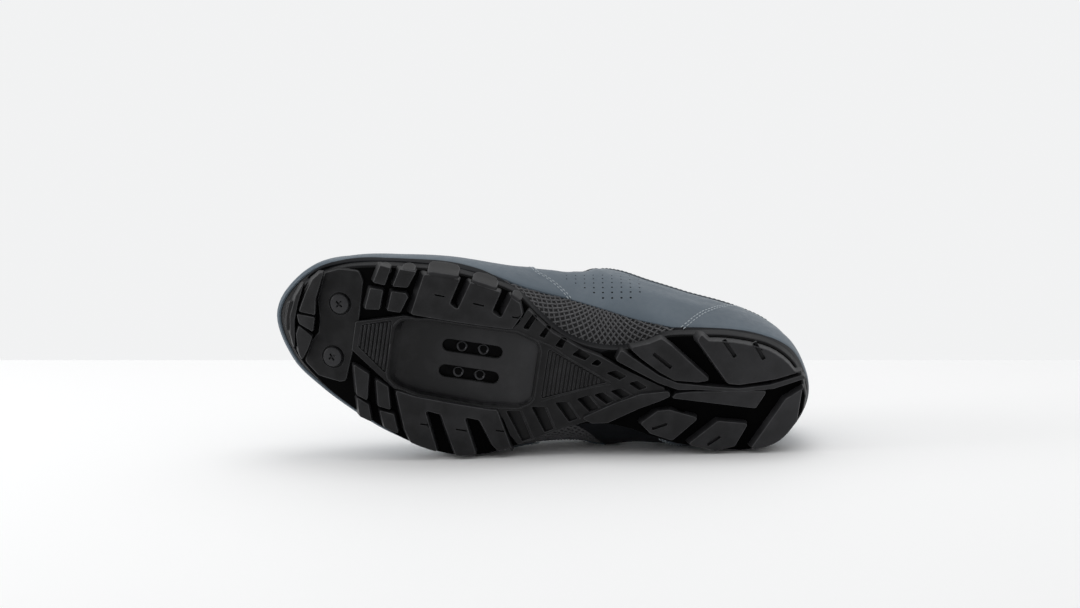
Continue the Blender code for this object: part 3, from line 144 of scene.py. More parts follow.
LATERAL_RIBS = [
    (0.014, 0.050, 0.27, 0.041, -0.144, 0.97, 0.00, 0.03, 0.23, 0.05, 0.84, 1.0),
    (0.057, 0.050, 0.26, 0.082, -0.258, 0.90, 0.00, 0.03, 0.21, 0.05, 0.84, 1.0),
    (0.128, 0.050, 0.23, 0.156, -0.332, 0.81, 0.00, 0.04, 0.19, 0.05, 0.84, 1.0),
    (0.220, 0.080, 0.19, 0.241, -0.366, 0.78, 0.00, 0.05, 0.20, 0.05, 0.84, 1.0),
    (0.298, 0.170, 0.14, 0.314, -0.375, 0.44, 0.36, 0.07, 0.22, 0.08, 0.84, 0.9),
    (0.365, 0.280, 0.11, 0.374, -0.368, 0.20, 0.69, 0.11, 0.25, 0.16, 0.84, 0.7),
    (0.433, 0.230, 0.11, 0.422, -0.330, 0.00, 0.96, 0.19, 0.25, 0.19, 0.83, 0.4),
    (0.496, 0.120, 0.14, 0.468, -0.280, 0.00, 0.96, 0.27, 0.22, 0.14, 0.82, 0.1),
    (0.567, 0.045, 0.17, 0.514, -0.248, 0.00, 0.91, 0.31, 0.18, 0.05, 0.82, 0.0),
    (0.660, 0.035, 0.17, 0.560, -0.228, 0.00, 0.835, 0.34, 0.13, 0.05, 0.82, 0.0),
    (0.752, 0.045, 0.18, 0.603, -0.206, 0.00, 0.76, 0.33, 0.09, 0.05, 0.83, 0.0),
    (0.837, 0.050, 0.19, 0.635, -0.183, 0.00, 0.71, 0.34, 0.07, 0.05, 0.84, 0.0),
    (0.908, 0.050, 0.20, 0.656, -0.153, 0.00, 0.68, 0.36, 0.06, 0.05, 0.86, 0.0),
    (0.965, 0.050, 0.20, 0.667, -0.119, 0.00, 0.667, 0.46, 0.05, 0.05, 0.88, 0.0),
]
RIBS = np.array([HEEL_RIB] + MEDIAL_RIBS + [TOE_RIB] + LATERAL_RIBS[::-1])
RIB_COUNT = len(RIBS)
EYELET_RIBS = [7.35, 8.45, 9.55, 10.7, 12.0]
TONGUE_RIBS = [14.2, 13.4, 12.4, 11.4, 10.4, 9.4, 8.6, 7.9, 7.4]
# Free top of the tongue: back, rise, half, droop
EARS = [
    (0.021, 0.07, 0.230, 0.075), (0.045, 0.13, 0.275, 0.070), (0.064, 0.17, 0.290, 0.060),
    (0.076, 0.19, 0.240, 0.045),
]


# Curves and heights of the last

def unit(rows):
    """Vectors brought to length 1."""
    return rows / np.linalg.norm(rows, axis=-1, keepdims=True)


def run_along(points):
    """Length along a path up to each of its points."""
    return np.concatenate([[0], np.cumsum(np.linalg.norm(np.diff(points, axis=0), axis=1))])


def circle(count, radius=1.0):
    """Points round a circle."""
    angles = np.linspace(0, 2 * math.pi, count, endpoint=False)
    return radius * np.stack([np.cos(angles), np.sin(angles)], 1)


def smooth_step(value, start, end):
    t = np.clip((value - start) / (end - start), 0.0, 1.0)
    return t * t * (3 - 2 * t)


def spline(values, position, closed=False):
    """Catmull-Rom value of rows of numbers at real-valued positions."""
    values = np.asarray(values, float)
    position = np.asarray(position, float)
    count = len(values)
    index = np.floor(position).astype(int)
    share = (position - index)[..., None] if values.ndim > 1 else position - index
    picks = []
    for offset in (-1, 0, 1, 2):
        place = (index + offset) % count if closed else np.clip(index + offset, 0, count - 1)
        picks.append(values[place])
    before, start, end, after = picks
    return 0.5 * (
        2 * start + (end - before) * share
        + (2 * before - 5 * start + 4 * end - after) * share ** 2
        + (3 * start - before - 3 * end + after) * share ** 3
    )


def outline_branch(side):
    medial = [(row[0] * LENGTH, row[1] * BALL_WIDTH) for row in OUTLINE]
    lateral = [(row[0] * LENGTH, row[2] * BALL_WIDTH) for row in OUTLINE[1:-1]]
    ring = medial + lateral[::-1]
    steps = np.arange((len(OUTLINE) - 1) * 12 + 1) / 12
    return spline(ring, steps if side == "medial" else len(ring) - steps, closed=True)


BRANCH = {side: outline_branch(side) for side in ("medial", "lateral")}


def edge(side, x):
    """Across position of the sole outline."""
    points = BRANCH[side]
    return np.interp(x, np.maximum.accumulate(points[:, 0]), points[:, 1])


def outward(side, x):
    """Outward direction of the outline in plan."""
    x = np.asarray(x, float)
    step = LENGTH * 0.004
    back, front = np.maximum(x - step, 0.0), np.minimum(x + step, LENGTH)
    run, rise = front - back, edge(side, front) - edge(side, back)
    size = np.hypot(run, rise)
    sign = 1.0 if side == "medial" else -1.0
    way = np.stack([-rise / size * sign, run / size * sign, np.zeros_like(x)], -1)
    way[x <= 1e-9] = (-1, 0, 0)
    way[x >= LENGTH - 1e-9] = (1, 0, 0)
    return way


END_MARKS = (0.0, 0.002, 0.006, 0.014, 0.028, 0.047, 0.07, 0.10)
MARKS = np.array(sorted(
    {share * LENGTH for share in END_MARKS} | {(1 - share) * LENGTH for share in END_MARKS}
    | {(0.10 + 0.04 * k) * LENGTH for k in range(1, 20)}
))


def smooth_levels(column):
    """A column of the profile at the marks, on a smooth curve that never overshoots."""
    alongs = np.array([row[0] for row in PROFILE])
    values = np.array([row[column] for row in PROFILE])
    levels = []
    for share in MARKS / LENGTH:
        index = min(max(np.searchsorted(alongs, share, "right") - 1, 0), len(alongs) - 2)
        part = (share - alongs[index]) / (alongs[index + 1] - alongs[index])
        value = float(spline(values, index + min(max(part, 0.0), 0.999999)))
        low, high = sorted(values[index:index + 2])
        levels.append(min(max(value, low), high))
    return np.array(levels)


TREAD_LEVELS = (
    TOE_SPRING * smooth_levels(1) + ARCH_RISE * smooth_levels(2) + HEEL_BEVEL * smooth_levels(3)
)
BASE_LEVELS = TREAD_LEVELS + LUG_DEPTH * smooth_levels(4)
FEATHER_LEVELS = BASE_LEVELS + SIDE_HEIGHT * smooth_levels(5)


def tread_height(x):
    return np.interp(x, MARKS, TREAD_LEVELS)


def base_height(x):
    return np.interp(x, MARKS, BASE_LEVELS)


def feather_height(x):
    return np.interp(x, MARKS, FEATHER_LEVELS)


POCKET_FLOOR = float(base_height(CLEAT_ALONG * LENGTH))


# Surface of the upper

def rib_value(u, column):
    return spline(RIBS[:, COLUMNS.index(column)], u, closed=True)


def rib_feet():
    feet, ways = [], []
    for index in range(RIB_COUNT):
        side = "medial" if index <= RIB_COUNT / 2 else "lateral"
        x = RIBS[index, 0] * LENGTH
        way = outward(side, np.array([x]))[0]
        feet.append(np.array([x, float(edge(side, x)), 0.0]) - way * FOOT_INSET)
        ways.append(way)
    return np.array(feet), np.array(ways)


FEET, WAYS = rib_feet()


# How far the soft upper stands off the solid form, in millimetres: rib, then towards the
# medial side at the rim
RIM_FULLNESS = [
    (4.0, 0.0), (5.0, 1.0), (6.0, 2.2), (7.0, 2.7), (7.5, 3.6), (8.0, 4.6), (8.6, 5.6), (9.2, 4.4),
    (9.9, 0.4), (10.7, -2.0), (11.6, -3.4), (12.4, -2.8), (13.4, -1.2), (14.2, 0.0),
]
# Rib, then outwards over the sole's edge round the toe
TOE_FULLNESS = [
    (12.0, 0.0), (13.2, 1.2), (14.2, 3.6), (14.7, 4.2), (15.2, 4.0), (16.0, 3.2), (17.0, 2.2),
    (18.5, 1.5), (20.0, 0.9), (21.2, 0.0),
]
# Shares over which the fullness grows towards the rim, and grows and fades again round the toe
RIM_GROWS = (0.28, 0.66)
TOE_GROWS = (-0.04, 0.07)
TOE_FADES = (0.30, 0.80)
# In front of the throat's corner the rim loses this part of it, between these ribs and shares
CORNER_LOSS = 0.6
CORNER_RIBS = (7.6, 8.6)
CORNER_SHARES = (0.78, 1.0)


def fullness(u, s, way):
    """How far the soft upper stands off the solid form at rib positions and shares."""
    u = u % RIB_COUNT
    rim = np.interp(u, *np.array(RIM_FULLNESS).T, left=0.0, right=0.0) * smooth_step(s, *RIM_GROWS)
    rim = rim * (1 - CORNER_LOSS * smooth_step(u, *CORNER_RIBS) * smooth_step(s, *CORNER_SHARES))
    toe = np.interp(u, *np.array(TOE_FULLNESS).T, left=0.0, right=0.0)
    toe = toe * smooth_step(s, *TOE_GROWS) * (1 - smooth_step(s, *TOE_FADES))
    return (toe[..., None] * way + rim[..., None] * np.array([0.0, 1.0, 0.0])) * MM


def surface(u, s):
    """Points of the upper's base surface at rib positions and shares, broadcast together."""
    u, s = np.broadcast_arrays(np.asarray(u, float), np.asarray(s, float))
    foot = spline(FEET, u, closed=True)
    way = spline(WAYS, u, closed=True)
    way = unit(way)
    foot[..., 2] = feather_height(foot[..., 0]) + GAP
    rim = np.stack([
        rib_value(u, "rim_along") * LENGTH,
        rib_value(u, "rim_across") * BALL_WIDTH,
        rib_value(u, "collar") * COLLAR_HEIGHT + rib_value(u, "instep") * INSTEP_HEIGHT,
    ], -1)
    low = foot + way * (rib_value(u, "flare") * BALL_WIDTH)[..., None]
    low[..., 2] += rib_value(u, "lift") * INSTEP_HEIGHT
    high = rim + way * (rib_value(u, "swell") * BALL_WIDTH)[..., None]
    high[..., 2] -= rib_value(u, "drop") * INSTEP_HEIGHT
    t = s[..., None]
    rest = 1 - t
    form = foot * rest ** 3 + low * 3 * rest ** 2 * t + high * 3 * rest * t ** 2 + rim * t ** 3
    return form + fullness(u, s, way)


def normal(u, s):
    """Outward normals of the base surface."""
    low, high = np.maximum(s - 0.02, 0.0), np.minimum(np.asarray(s) + 0.02, 1.0)
    around = surface(np.asarray(u) + 0.05, s) - surface(np.asarray(u) - 0.05, s)
    up = surface(u, high) - surface(u, low)
    return unit(np.cross(up, around))


def on_upper(u, s, lift):
    """Points at a height over the base surface."""
    u, s, lift = np.broadcast_arrays(np.asarray(u, float), np.asarray(s, float), np.asarray(lift, float))
    return surface(u, s) + normal(u, s) * lift[..., None]


def padding(u, s):
    """Thickness of the collar's padding."""
    grown = smooth_step(np.asarray(s), PADDING_START, PADDING_START + PADDING_SPAN)
    return PADDING * rib_value(u, "pad") * grown


def seen_across(points):
    """Across place of points as the photo sees them, in millimetres."""
    height = points[..., 2] / MM - VIEW_HEIGHT
    return points[..., 1] / MM * math.cos(VIEW_LEAN) + height * math.sin(VIEW_LEAN)


# Placement of the shoe in the row: from the cleat bed and the two studs

def node_centre(name):
    low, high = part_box(name)
    return (Vector(low) + Vector(high)) / 2


def shoe_placement():
    mount = next(item for item in frame["record"]["mounts"] if item["name"] == "cleat_bed")
    up = -Vector(mount["axis"]).normalized()
    medial = (node_centre("toe_stud_medial") - node_centre("toe_stud_lateral")).normalized()
    ahead = medial.cross(up).normalized()
    medial = up.cross(ahead)
    turn = Matrix((ahead, medial, up)).transposed()
    bed = Vector((CLEAT_ALONG * LENGTH, CLEAT_ACROSS * BALL_WIDTH, POCKET_FLOOR))
    return Matrix.Translation(Vector(mount["pos_m"]) - turn @ bed) @ turn.to_4x4()


PLACEMENT = shoe_placement()

# Border of the cleat pocket, in shares of LENGTH and BALL_WIDTH
POCKET = [
    (0.512, 0.040), (0.518, 0.085), (0.560, 0.122), (0.720, 0.122), (0.772, 0.105), (0.782, 0.060),
    (0.782, -0.205), (0.765, -0.240), (0.720, -0.268), (0.600, -0.280), (0.535, -0.262), (0.512, -0.225),
]
POCKET_OUTLINE = np.array(POCKET) * (LENGTH / MM, BALL_WIDTH / MM)
POCKET_CORNER = 5.0


# Paints, all procedural

def node(tree, kind, inputs=None, **settings):
    """A shader node with its settings and the values or links of its inputs."""
    item = tree.nodes.new(kind)
    for key, value in settings.items():
        setattr(item, key, value)
    for key, value in (inputs or {}).items():
        if isinstance(value, bpy.types.NodeSocket):
            tree.links.new(value, item.inputs[key])
        else:
            item.inputs[key].default_value = value
    return item


def new_paint(name):
    paint = bpy.data.materials.new(name)
    paint.use_nodes = True
    return paint, paint.node_tree, paint.node_tree.nodes["Principled BSDF"]


def place_socket(tree, attribute=None):
    if attribute:
        return node(tree, "ShaderNodeAttribute", attribute_name=attribute).outputs["Vector"]
    return node(tree, "ShaderNodeTexCoord").outputs["Object"]


def noise(tree, place, scale, detail=3.0):
    item = node(tree, "ShaderNodeTexNoise", {"Vector": place, "Scale": scale, "Detail": detail})
    return item.outputs["Fac"]


def spread(tree, value, low, high, start=0.3, end=0.7):
    """A value mapped from start..end onto low..high."""
    item = node(tree, "ShaderNodeMapRange", {
        "Value": value, "From Min": start, "From Max": end, "To Min": low, "To Max": high,
    })
    return item.outputs["Result"]


def maths(tree, operation, first, second):
    """Two values worked together and kept between 0 and 1."""
    item = node(tree, "ShaderNodeMath", {0: first, 1: second}, operation=operation, use_clamp=True)
    return item.outputs[0]


def blend(tree, share, low, high):
    """Two colours, or links, mixed by a share."""
    item = node(tree, "ShaderNodeMix", {"Factor": share}, data_type="RGBA")
    for key, value in ((6, low), (7, high)):
        if isinstance(value, bpy.types.NodeSocket):
            tree.links.new(value, item.inputs[key])
        else:
            item.inputs[key].default_value = (*value, 1.0)
    return item.outputs[2]


def bump(tree, height, depth, strength=1.0, below=None):
    inputs = {"Height": height, "Strength": strength, "Distance": depth}
    if below is not None:
        inputs["Normal"] = below
    return node(tree, "ShaderNodeBump", inputs).outputs["Normal"]


# Painted highlight: the paler colour that the rounded rims of the moulded blocks take, standing in for light along
# their edges
EDGE_HIGHLIGHT = (0.105, 0.105, 0.110)


def moulded_paint(name, colour, dust_and_light_colour, rough, grain=0.00005, scale=1500.0, specular=0.5, edge_highlight=0.0):
    """Moulded rubber or nylon: fine grain, cloudy gloss and a little dust; a painted highlight makes the rounded
    rims paler, and painted light makes the faces paler where the vertices carry it.
    """
    paint, tree, shader = new_paint(name)
    place = place_socket(tree)
    cloud = noise(tree, place, 70.0, 4.0)
    fine = noise(tree, place, scale, 2.0)
    # Painted highlight: the rims' layer, broken up by noise, mixes in the paler edge colour
    corner = node(tree, "ShaderNodeAttribute", attribute_name="edge").outputs["Fac"]
    highlight_strength = spread(tree, noise(tree, place, 240.0), 0.45 * edge_highlight, edge_highlight)
    shine = maths(tree, "MULTIPLY", corner, highlight_strength)
    # Painted light: faces paler towards the heel and the waist end of the pocket, added to random dust
    light_share = node(tree, "ShaderNodeAttribute", attribute_name="light_share").outputs["Fac"]
    dust = spread(tree, cloud, 0.0, 0.35, 0.45, 0.75)
    faces = blend(tree, maths(tree, "ADD", light_share, dust), colour, dust_and_light_colour)
    tree.links.new(blend(tree, shine, faces, EDGE_HIGHLIGHT), shader.inputs["Base Color"])
    tree.links.new(spread(tree, cloud, rough[0], rough[1]), shader.inputs["Roughness"])
    tree.links.new(bump(tree, fine, grain), shader.inputs["Normal"])
    shader.inputs["Specular IOR Level"].default_value = specular
    return paint


def synthetic_paint(name, colour, deep, rough, grain=0.00003, specular=0.35):
    """Satin synthetic leather: very fine grain, slow changes of tone, a little dust."""
    paint, tree, shader = new_paint(name)
    place = place_socket(tree)
    slow = noise(tree, place, 28.0, 3.0)
    fine = node(tree, "ShaderNodeTexVoronoi", {"Vector": place, "Scale": 1900.0}).outputs["Distance"]
    haze = noise(tree, place, 350.0, 4.0)
    tree.links.new(blend(tree, spread(tree, slow, 0.0, 1.0), deep, colour), shader.inputs["Base Color"])
    tree.links.new(spread(tree, haze, rough[0], rough[1]), shader.inputs["Roughness"])
    soft = bump(tree, noise(tree, place, 160.0, 2.0), 0.00012)
    tree.links.new(bump(tree, fine, grain, below=soft), shader.inputs["Normal"])
    shader.inputs["Sheen Weight"].default_value = 0.03
    shader.inputs["Specular IOR Level"].default_value = specular
    return paint


WAVE_FACTOR = 20.0


def woven_paint(name, colour, thread, pitch=0.9, rough=0.85, depth=0.00012):
    """Woven fabric: two crossing sets of threads, on the piece's own cloth coordinates in millimetres."""
    paint, tree, shader = new_paint(name)
    place = place_socket(tree, "cloth")
    waves = []
    for direction in ("X", "Y"):
        waves.append(node(
            tree, "ShaderNodeTexWave",
            {"Vector": place, "Scale": 2 * math.pi / pitch / WAVE_FACTOR, "Distortion": 0.6, "Detail": 1.0},
            bands_direction=direction,
        ).outputs["Fac"])
    weave = maths(tree, "MAXIMUM", *waves)
    tree.links.new(blend(tree, weave, colour, thread), shader.inputs["Base Color"])
    tree.links.new(bump(tree, weave, depth), shader.inputs["Normal"])
    shader.inputs["Roughness"].default_value = rough
    shader.inputs["Sheen Weight"].default_value = 0.15
    return paint


def plain_paint(name, colour, rough, metallic=0.0, scale=400.0, grain=0.00004, specular=0.5):
    paint, tree, shader = new_paint(name)
    place = place_socket(tree)
    shader.inputs["Base Color"].default_value = (*colour, 1.0)
    shader.inputs["Metallic"].default_value = metallic
    shader.inputs["Specular IOR Level"].default_value = specular
    tree.links.new(spread(tree, noise(tree, place, 300.0), rough * 0.8, rough * 1.25), shader.inputs["Roughness"])
    tree.links.new(bump(tree, noise(tree, place, scale), grain), shader.inputs["Normal"])
    return paint


RUBBER = moulded_paint(
    "rubber", (0.0052, 0.0052, 0.0058), (0.040, 0.040, 0.043), (0.40, 0.55), specular=0.20, edge_highlight=0.6,
)
# Painted shade: the tread's rubber made near black and almost without gloss for the groove floors, where shade
# falls
GROOVE_SHADE_RUBBER = moulded_paint(
    "groove_shade_rubber", (0.0009, 0.0009, 0.0010), (0.0022, 0.0022, 0.0024), (0.6, 0.75), specular=0.03,
)
NYLON = moulded_paint(
    "nylon", (0.0048, 0.0048, 0.0053), (0.036, 0.036, 0.038), (0.38, 0.52), 0.00004, 2200.0, 0.16, 0.6,
)
SIDE_NYLON = moulded_paint(
    "side_nylon", (0.0075, 0.0078, 0.0090), (0.020, 0.021, 0.024), (0.42, 0.56), 0.00003, specular=0.15,
)
RAND = moulded_paint(
    "rand", (0.0060, 0.0066, 0.0082), (0.022, 0.023, 0.027), (0.46, 0.60), 0.00003, specular=0.08,
)
SLATE = synthetic_paint("slate", (0.103, 0.132, 0.160), (0.086, 0.110, 0.134), (0.42, 0.56), specular=0.2)
SLATE_DEEP = synthetic_paint("slate_deep", (0.070, 0.087, 0.104), (0.058, 0.073, 0.088), (0.40, 0.54))
FABRIC = woven_paint("fabric", (0.0030, 0.0030, 0.0034), (0.009, 0.009, 0.010))
LATTICE = plain_paint("lattice", (0.068, 0.068, 0.072), 0.55)
LINING = woven_paint("lining", (0.010, 0.010, 0.011), (0.026, 0.026, 0.028), 0.8)
FOAM = woven_paint("foam", (0.040, 0.042, 0.046), (0.065, 0.068, 0.074), 1.1, 0.9)
THREAD = plain_paint("thread", (0.36, 0.40, 0.43), 0.6)
DARK_THREAD = plain_paint("dark_thread", (0.055, 0.068, 0.080), 0.7)
STEEL = plain_paint("steel", (0.10, 0.10, 0.103), 0.26, 1.0, 900.0)
# Painted shade: a darker copy of the steel for the bosses, which sit in the slots
BOSS_STEEL_SHADED = plain_paint("boss_steel_shaded", (0.045, 0.045, 0.048), 0.30, 1.0, 900.0)
BLACK_STEEL = plain_paint("black_steel", (0.016, 0.016, 0.018), 0.40, 0.4, 900.0)
# Painted shade: near black and almost without gloss, for the nut bar seen through the slots
NUT_BAR_SHADE = plain_paint("nut_bar_shade", (0.0012, 0.0012, 0.0014), 0.6, 0.0, 900.0, specular=0.05)
CORD = woven_paint("cord", (0.007, 0.007, 0.008), (0.024, 0.024, 0.026), 0.7, 0.75)
# Painted shade: near black for the dark discs of the pinholes and the eyelets' insides; the tongue's binding wears
# it as its own dark colour
HOLE = plain_paint("hole", (0.0025, 0.0025, 0.0030), 0.8, specular=0.1)


# Building pieces

SHARP = math.radians(38)
# How much paler the moulded faces are painted, as painted light that falls brighter towards the heel: millimetres
# along from the heel, then share
PAINTED_LIGHT = [(0, 0.50), (20, 0.42), (60, 0.16), (110, 0.0), (150, 0.05), (200, 0.06), (240, 0.0), (282, 0.0)]
# Painted light in the cleat pocket, brighter towards its waist end: millimetres along from the heel, then share
POCKET_PAINTED_LIGHT = [(150, 0.75), (165, 0.60), (215, 0.15)]


def painted_light_at(spots):
    """Painted light on the sole's faces: paler at the heel, and in the cleat pocket towards the waist."""
    share = np.interp(spots[:, 0], *np.array(PAINTED_LIGHT).T)
    pocket = inside(spots[:, :2], POCKET_OUTLINE) * np.interp(spots[:, 0], *np.array(POCKET_PAINTED_LIGHT).T)
    return np.maximum(share, pocket)


def add_piece(name, work, paint, nodes, smooth=True, weighted=True, cloth=None):
    """Object in the shoe's frame from finished mesh work, which rides on the shoe and stands for its nodes.

    cloth gives the cloth coordinates of its vertices, in millimetres, in the order in which they were made.
    """
    if cloth is None:
        bmesh.ops.remove_doubles(work, verts=work.verts, dist=1e-7)
    bmesh.ops.recalc_face_normals(work, faces=work.faces)
    mesh = bpy.data.meshes.new(name)
    work.to_mesh(mesh)
    work.free()
    # Moulded rubber and nylon carry their painted light per vertex
    if paint in (RUBBER, NYLON):
        spots = np.array([v.co for v in mesh.vertices]) / MM
        mesh.attributes.new("light_share", "FLOAT", "POINT").data.foreach_set("value", painted_light_at(spots))
    mesh.transform(PLACEMENT)
    if cloth is not None:
        data = np.zeros((len(mesh.vertices), 3))
        data[:, :2] = np.asarray(cloth, float).reshape(-1, 2)
        mesh.attributes.new("cloth", "FLOAT_VECTOR", "POINT").data.foreach_set("vector", data.ravel())
    if smooth:
        mesh.shade_smooth()
        mesh.set_sharp_from_angle(angle=SHARP)
    mesh.materials.append(paint)
    piece = bpy.data.objects.new(name, mesh)
    bpy.context.scene.collection.objects.link(piece)
    if weighted:
        modifier = piece.modifiers.new("normals", "WEIGHTED_NORMAL")
        modifier.keep_sharp = True
    bpy.context.view_layer.update()
    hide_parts(*nodes)
    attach(piece, "root")
    return piece


def rounded(points, radius, step):
    """A polygon with its corners rounded and its edges cut to short steps."""
    points = [np.asarray(p, float) for p in points]
    count = len(points)
    result = []
    for k in range(count):
        before, here, after = points[k - 1], points[k], points[(k + 1) % count]
        back, ahead = before - here, after - here
        reach_back, reach_ahead = np.linalg.norm(back), np.linalg.norm(ahead)
        back, ahead = back / reach_back, ahead / reach_ahead
        inner = math.acos(max(-1.0, min(1.0, float(back @ ahead))))
        turn = math.pi - inner
        reach = min(radius * math.tan(turn / 2), 0.45 * reach_back, 0.45 * reach_ahead)
        if turn < 0.12 or reach < 0.05:
            result.append(here)
            continue
        start, end = here + back * reach, here + ahead * reach
        steps = max(2, math.ceil(turn / 0.45))
        for i in range(steps + 1):
            t = i / steps
            result.append(start * (1 - t) ** 2 + here * 2 * t * (1 - t) + end * t * t)
    dense = []
    for k, here in enumerate(result):
        after = result[(k + 1) % len(result)]
        parts = max(1, math.ceil(np.linalg.norm(after - here) / step))
        for i in range(parts):
            dense.append(here + (after - here) * i / parts)
    ring = np.array(dense)
    area = np.sum(ring[:, 0] * np.roll(ring[:, 1], -1) - np.roll(ring[:, 0], -1) * ring[:, 1])
    return ring if area > 0 else ring[::-1]


def outward_ways(ring):
    """Outward unit directions at the points of a closed plan curve that runs anticlockwise."""
    ahead = np.roll(ring, -1, 0) - ring
    ahead /= np.maximum(np.linalg.norm(ahead, axis=1, keepdims=True), 1e-9)
    run = ahead + np.roll(ahead, 1, 0)
    run /= np.maximum(np.linalg.norm(run, axis=1, keepdims=True), 1e-9)
    return np.stack([run[:, 1], -run[:, 0]], 1)


def inside(points, ring):
    """Which points lie within a closed curve."""
    x, y = points[:, 0][:, None], points[:, 1][:, None]
    x0, y0 = ring[:, 0][None], ring[:, 1][None]
    x1, y1 = np.roll(ring[:, 0], -1)[None], np.roll(ring[:, 1], -1)[None]
    rise = np.where(np.abs(y1 - y0) < 1e-12, 1e-12, y1 - y0)
    hits = ((y0 > y) != (y1 > y)) & (x < x0 + (y - y0) / rise * (x1 - x0))
    return hits.sum(1) % 2 == 1


BORDER_GAP = 0.45


def grid_spots(outer, inners, grid):
    """Points of a square grid between an outer ring and the rings inside it, clear of them all."""
    low, high = outer.min(0), outer.max(0)
    columns = [np.arange(low[axis] + grid / 2, high[axis], grid) for axis in (0, 1)]
    spots = np.stack(np.meshgrid(*columns), -1).reshape(-1, 2)
    spots = spots[inside(spots, outer)]
    for ring in inners:
        spots = spots[~inside(spots, ring)]
    border = np.concatenate([outer] + inners)
    gaps = np.sqrt(((spots[:, None] - border[None]) ** 2).sum(-1)).min(1)
    return spots[gaps > grid * BORDER_GAP]


class Mould:
    """Moulded solid built ring by ring. place turns plan points and depths into points of the shoe."""

    def __init__(self, work, place):
        layers = work.verts.layers.float
        # Layer of how strongly each vertex carries the painted edge highlight
        self.edge_highlight = layers.get("edge") or layers.new("edge")
        self.work, self.place = work, place

    def ring(self, points, depth, shine=0.0):
        points = np.asarray(points, float)
        depth = np.broadcast_to(np.asarray(depth, float), (len(points),))
        made = [self.work.verts.new(spot) for spot in self.place(points, depth)]
        for vert in made:
            vert[self.edge_highlight] = shine
        return points, made

    def bridge(self, first, second):
        a, b = first[1], second[1]
        for k in range(len(a)):
            self.work.faces.new((a[k - 1], a[k], b[k], b[k - 1]))

    def wall(self, ring, profile, shines=()):
        """Rings at sideways offsets and depths, joined; gives the last one. The last argument gives how strongly
        each ring carries the painted edge highlight.
        """
        ways = outward_ways(ring)
        last = None
        for (offset, depth), shine in zip_longest(profile, shines, fillvalue=0.0):
            offset = np.broadcast_to(np.asarray(offset, float), (len(ring),))
            made = self.ring(ring + ways * offset[:, None], depth, shine)
            if last is not None:
                self.bridge(last, made)
            else:
                self.first = made
            last = made
        return last

    def fill(self, outer, inners, depth, grid=0.0):
        """Triangles between an outer ring and the rings inside it."""
        coords, edges, verts = [], [], []
        for points, made in [outer] + inners:
            start = len(coords)
            coords += [Vector(p) for p in points]
            verts += made
            edges += [(start + k, start + (k + 1) % len(points)) for k in range(len(points))]
        if grid:
            spots = grid_spots(outer[0], [points for points, _ in inners], grid)
            depths = depth(spots) if callable(depth) else np.full(len(spots), depth)
            coords += [Vector(p) for p in spots]
            verts += [self.work.verts.new(p) for p in self.place(spots, depths)]
        found = geometry.delaunay_2d_cdt(coords, edges, [], 1, 1e-7, True)
        places, triangles, origins = found[0], found[2], found[3]
        middles = np.array([[sum(places[i][axis] for i in tri) / 3 for axis in (0, 1)] for tri in triangles])
        keep = inside(middles, outer[0])
        for points, _ in inners:
            keep &= ~inside(middles, points)
        for tri, wanted in zip(triangles, keep):
            if not wanted or any(not origins[i] for i in tri):
                continue
            corners = [verts[origins[i][0]] for i in tri]
            if len(set(corners)) == 3 and self.work.faces.get(corners) is None:
                self.work.faces.new(corners)


ROUND_STEPS = (0.0, 30.0, 60.0, 90.0)
# How strongly each ring of a rounded rim carries the painted edge highlight, from the wall to the face
RIM_SHINES = (0.3, 1.0, 1.0, 0.08)


def rim_profile(rounding, sign=1.0):
    """Offsets and depths of a rounded rim, from its wall to its face."""
    return [
        (-sign * rounding * (1 - math.cos(math.radians(a))), rounding * (1 - math.sin(math.radians(a))))
        for a in ROUND_STEPS
    ]


def ramped(ring, draft, ramp):
    """Sideways reach of a wall's foot: its draft, and more where it faces the toe."""
    return draft + ramp * np.maximum(outward_ways(ring)[:, 0], 0.0) ** 2


def hole_rings(mould, hole):
    """Rim, wall and floor of a sunken hole; gives the ring at the face."""
    ring = rounded(hole["outline"], hole.get("corner", 0.8), hole.get("step", 2.0))
    depth = hole["depth"]
    bottom = (-hole.get("draft", 0.3), depth(ring) if callable(depth) else depth)
    last = mould.wall(ring, rim_profile(hole.get("rounding", 0.3), -1.0)[::-1] + [bottom], RIM_SHINES[::-1])
    face = mould.first
    mould.fill(last, [], depth, hole.get("grid", 0.0))
    return face


# Kinds of moulded block, in millimetres: rounding of the rim, draft, ramp of the wall that faces the toe,
# corner radius, step along the outline, grid of the face
STYLES = {
    "floor": (0.4, 0.2, 0.0, 1.0, 3.0, 5.0),
    "block": (0.45, 0.5, 1.4, 0.9, 1.5, 4.0),
    "toe_lug": (0.4, 0.4, 0.9, 0.8, 1.5, 4.0),
    "toe_rib": (0.2, 0.2, 0.0, 0.3, 1.5, 0.0),
    "medial_land": (0.5, 0.6, 2.4, 1.4, 1.5, 4.0),
    "lateral_land": (0.5, 0.6, 1.6, 1.4, 1.5, 4.0),
    "stud_flat": (0.5, 0.6, 0.0, 2.5, 1.5, 3.0),
    "heel_main": (0.45, 0.5, 1.8, 1.6, 1.5, 4.0),
    "heel_small": (0.45, 0.5, 0.6, 1.6, 1.5, 4.0),
    "heel_rear": (0.6, 0.6, 2.0, 2.0, 1.5, 4.0),
    "heel_end": (0.6, 0.6, 1.4, 2.0, 1.5, 4.0),
    "tab": (0.6, 0.5, 0.0, 2.0, 1.5, 3.0),
    "rib": (0.25, 0.15, 0.0, 0.3, 2.0, 0.0),
    "bead": (0.2, 0.15, 0.0, 0.2, 2.0, 0.0),
    "liner": (0.8, 0.0, 0.0, 3.0, 3.0, 5.0),
    "stud": (0.4, 0.1, 0.0, 0.1, 1.0, 1.2),
    "bar": (0.3, 0.0, 0.0, 2.0, 3.0, 0.0),
}


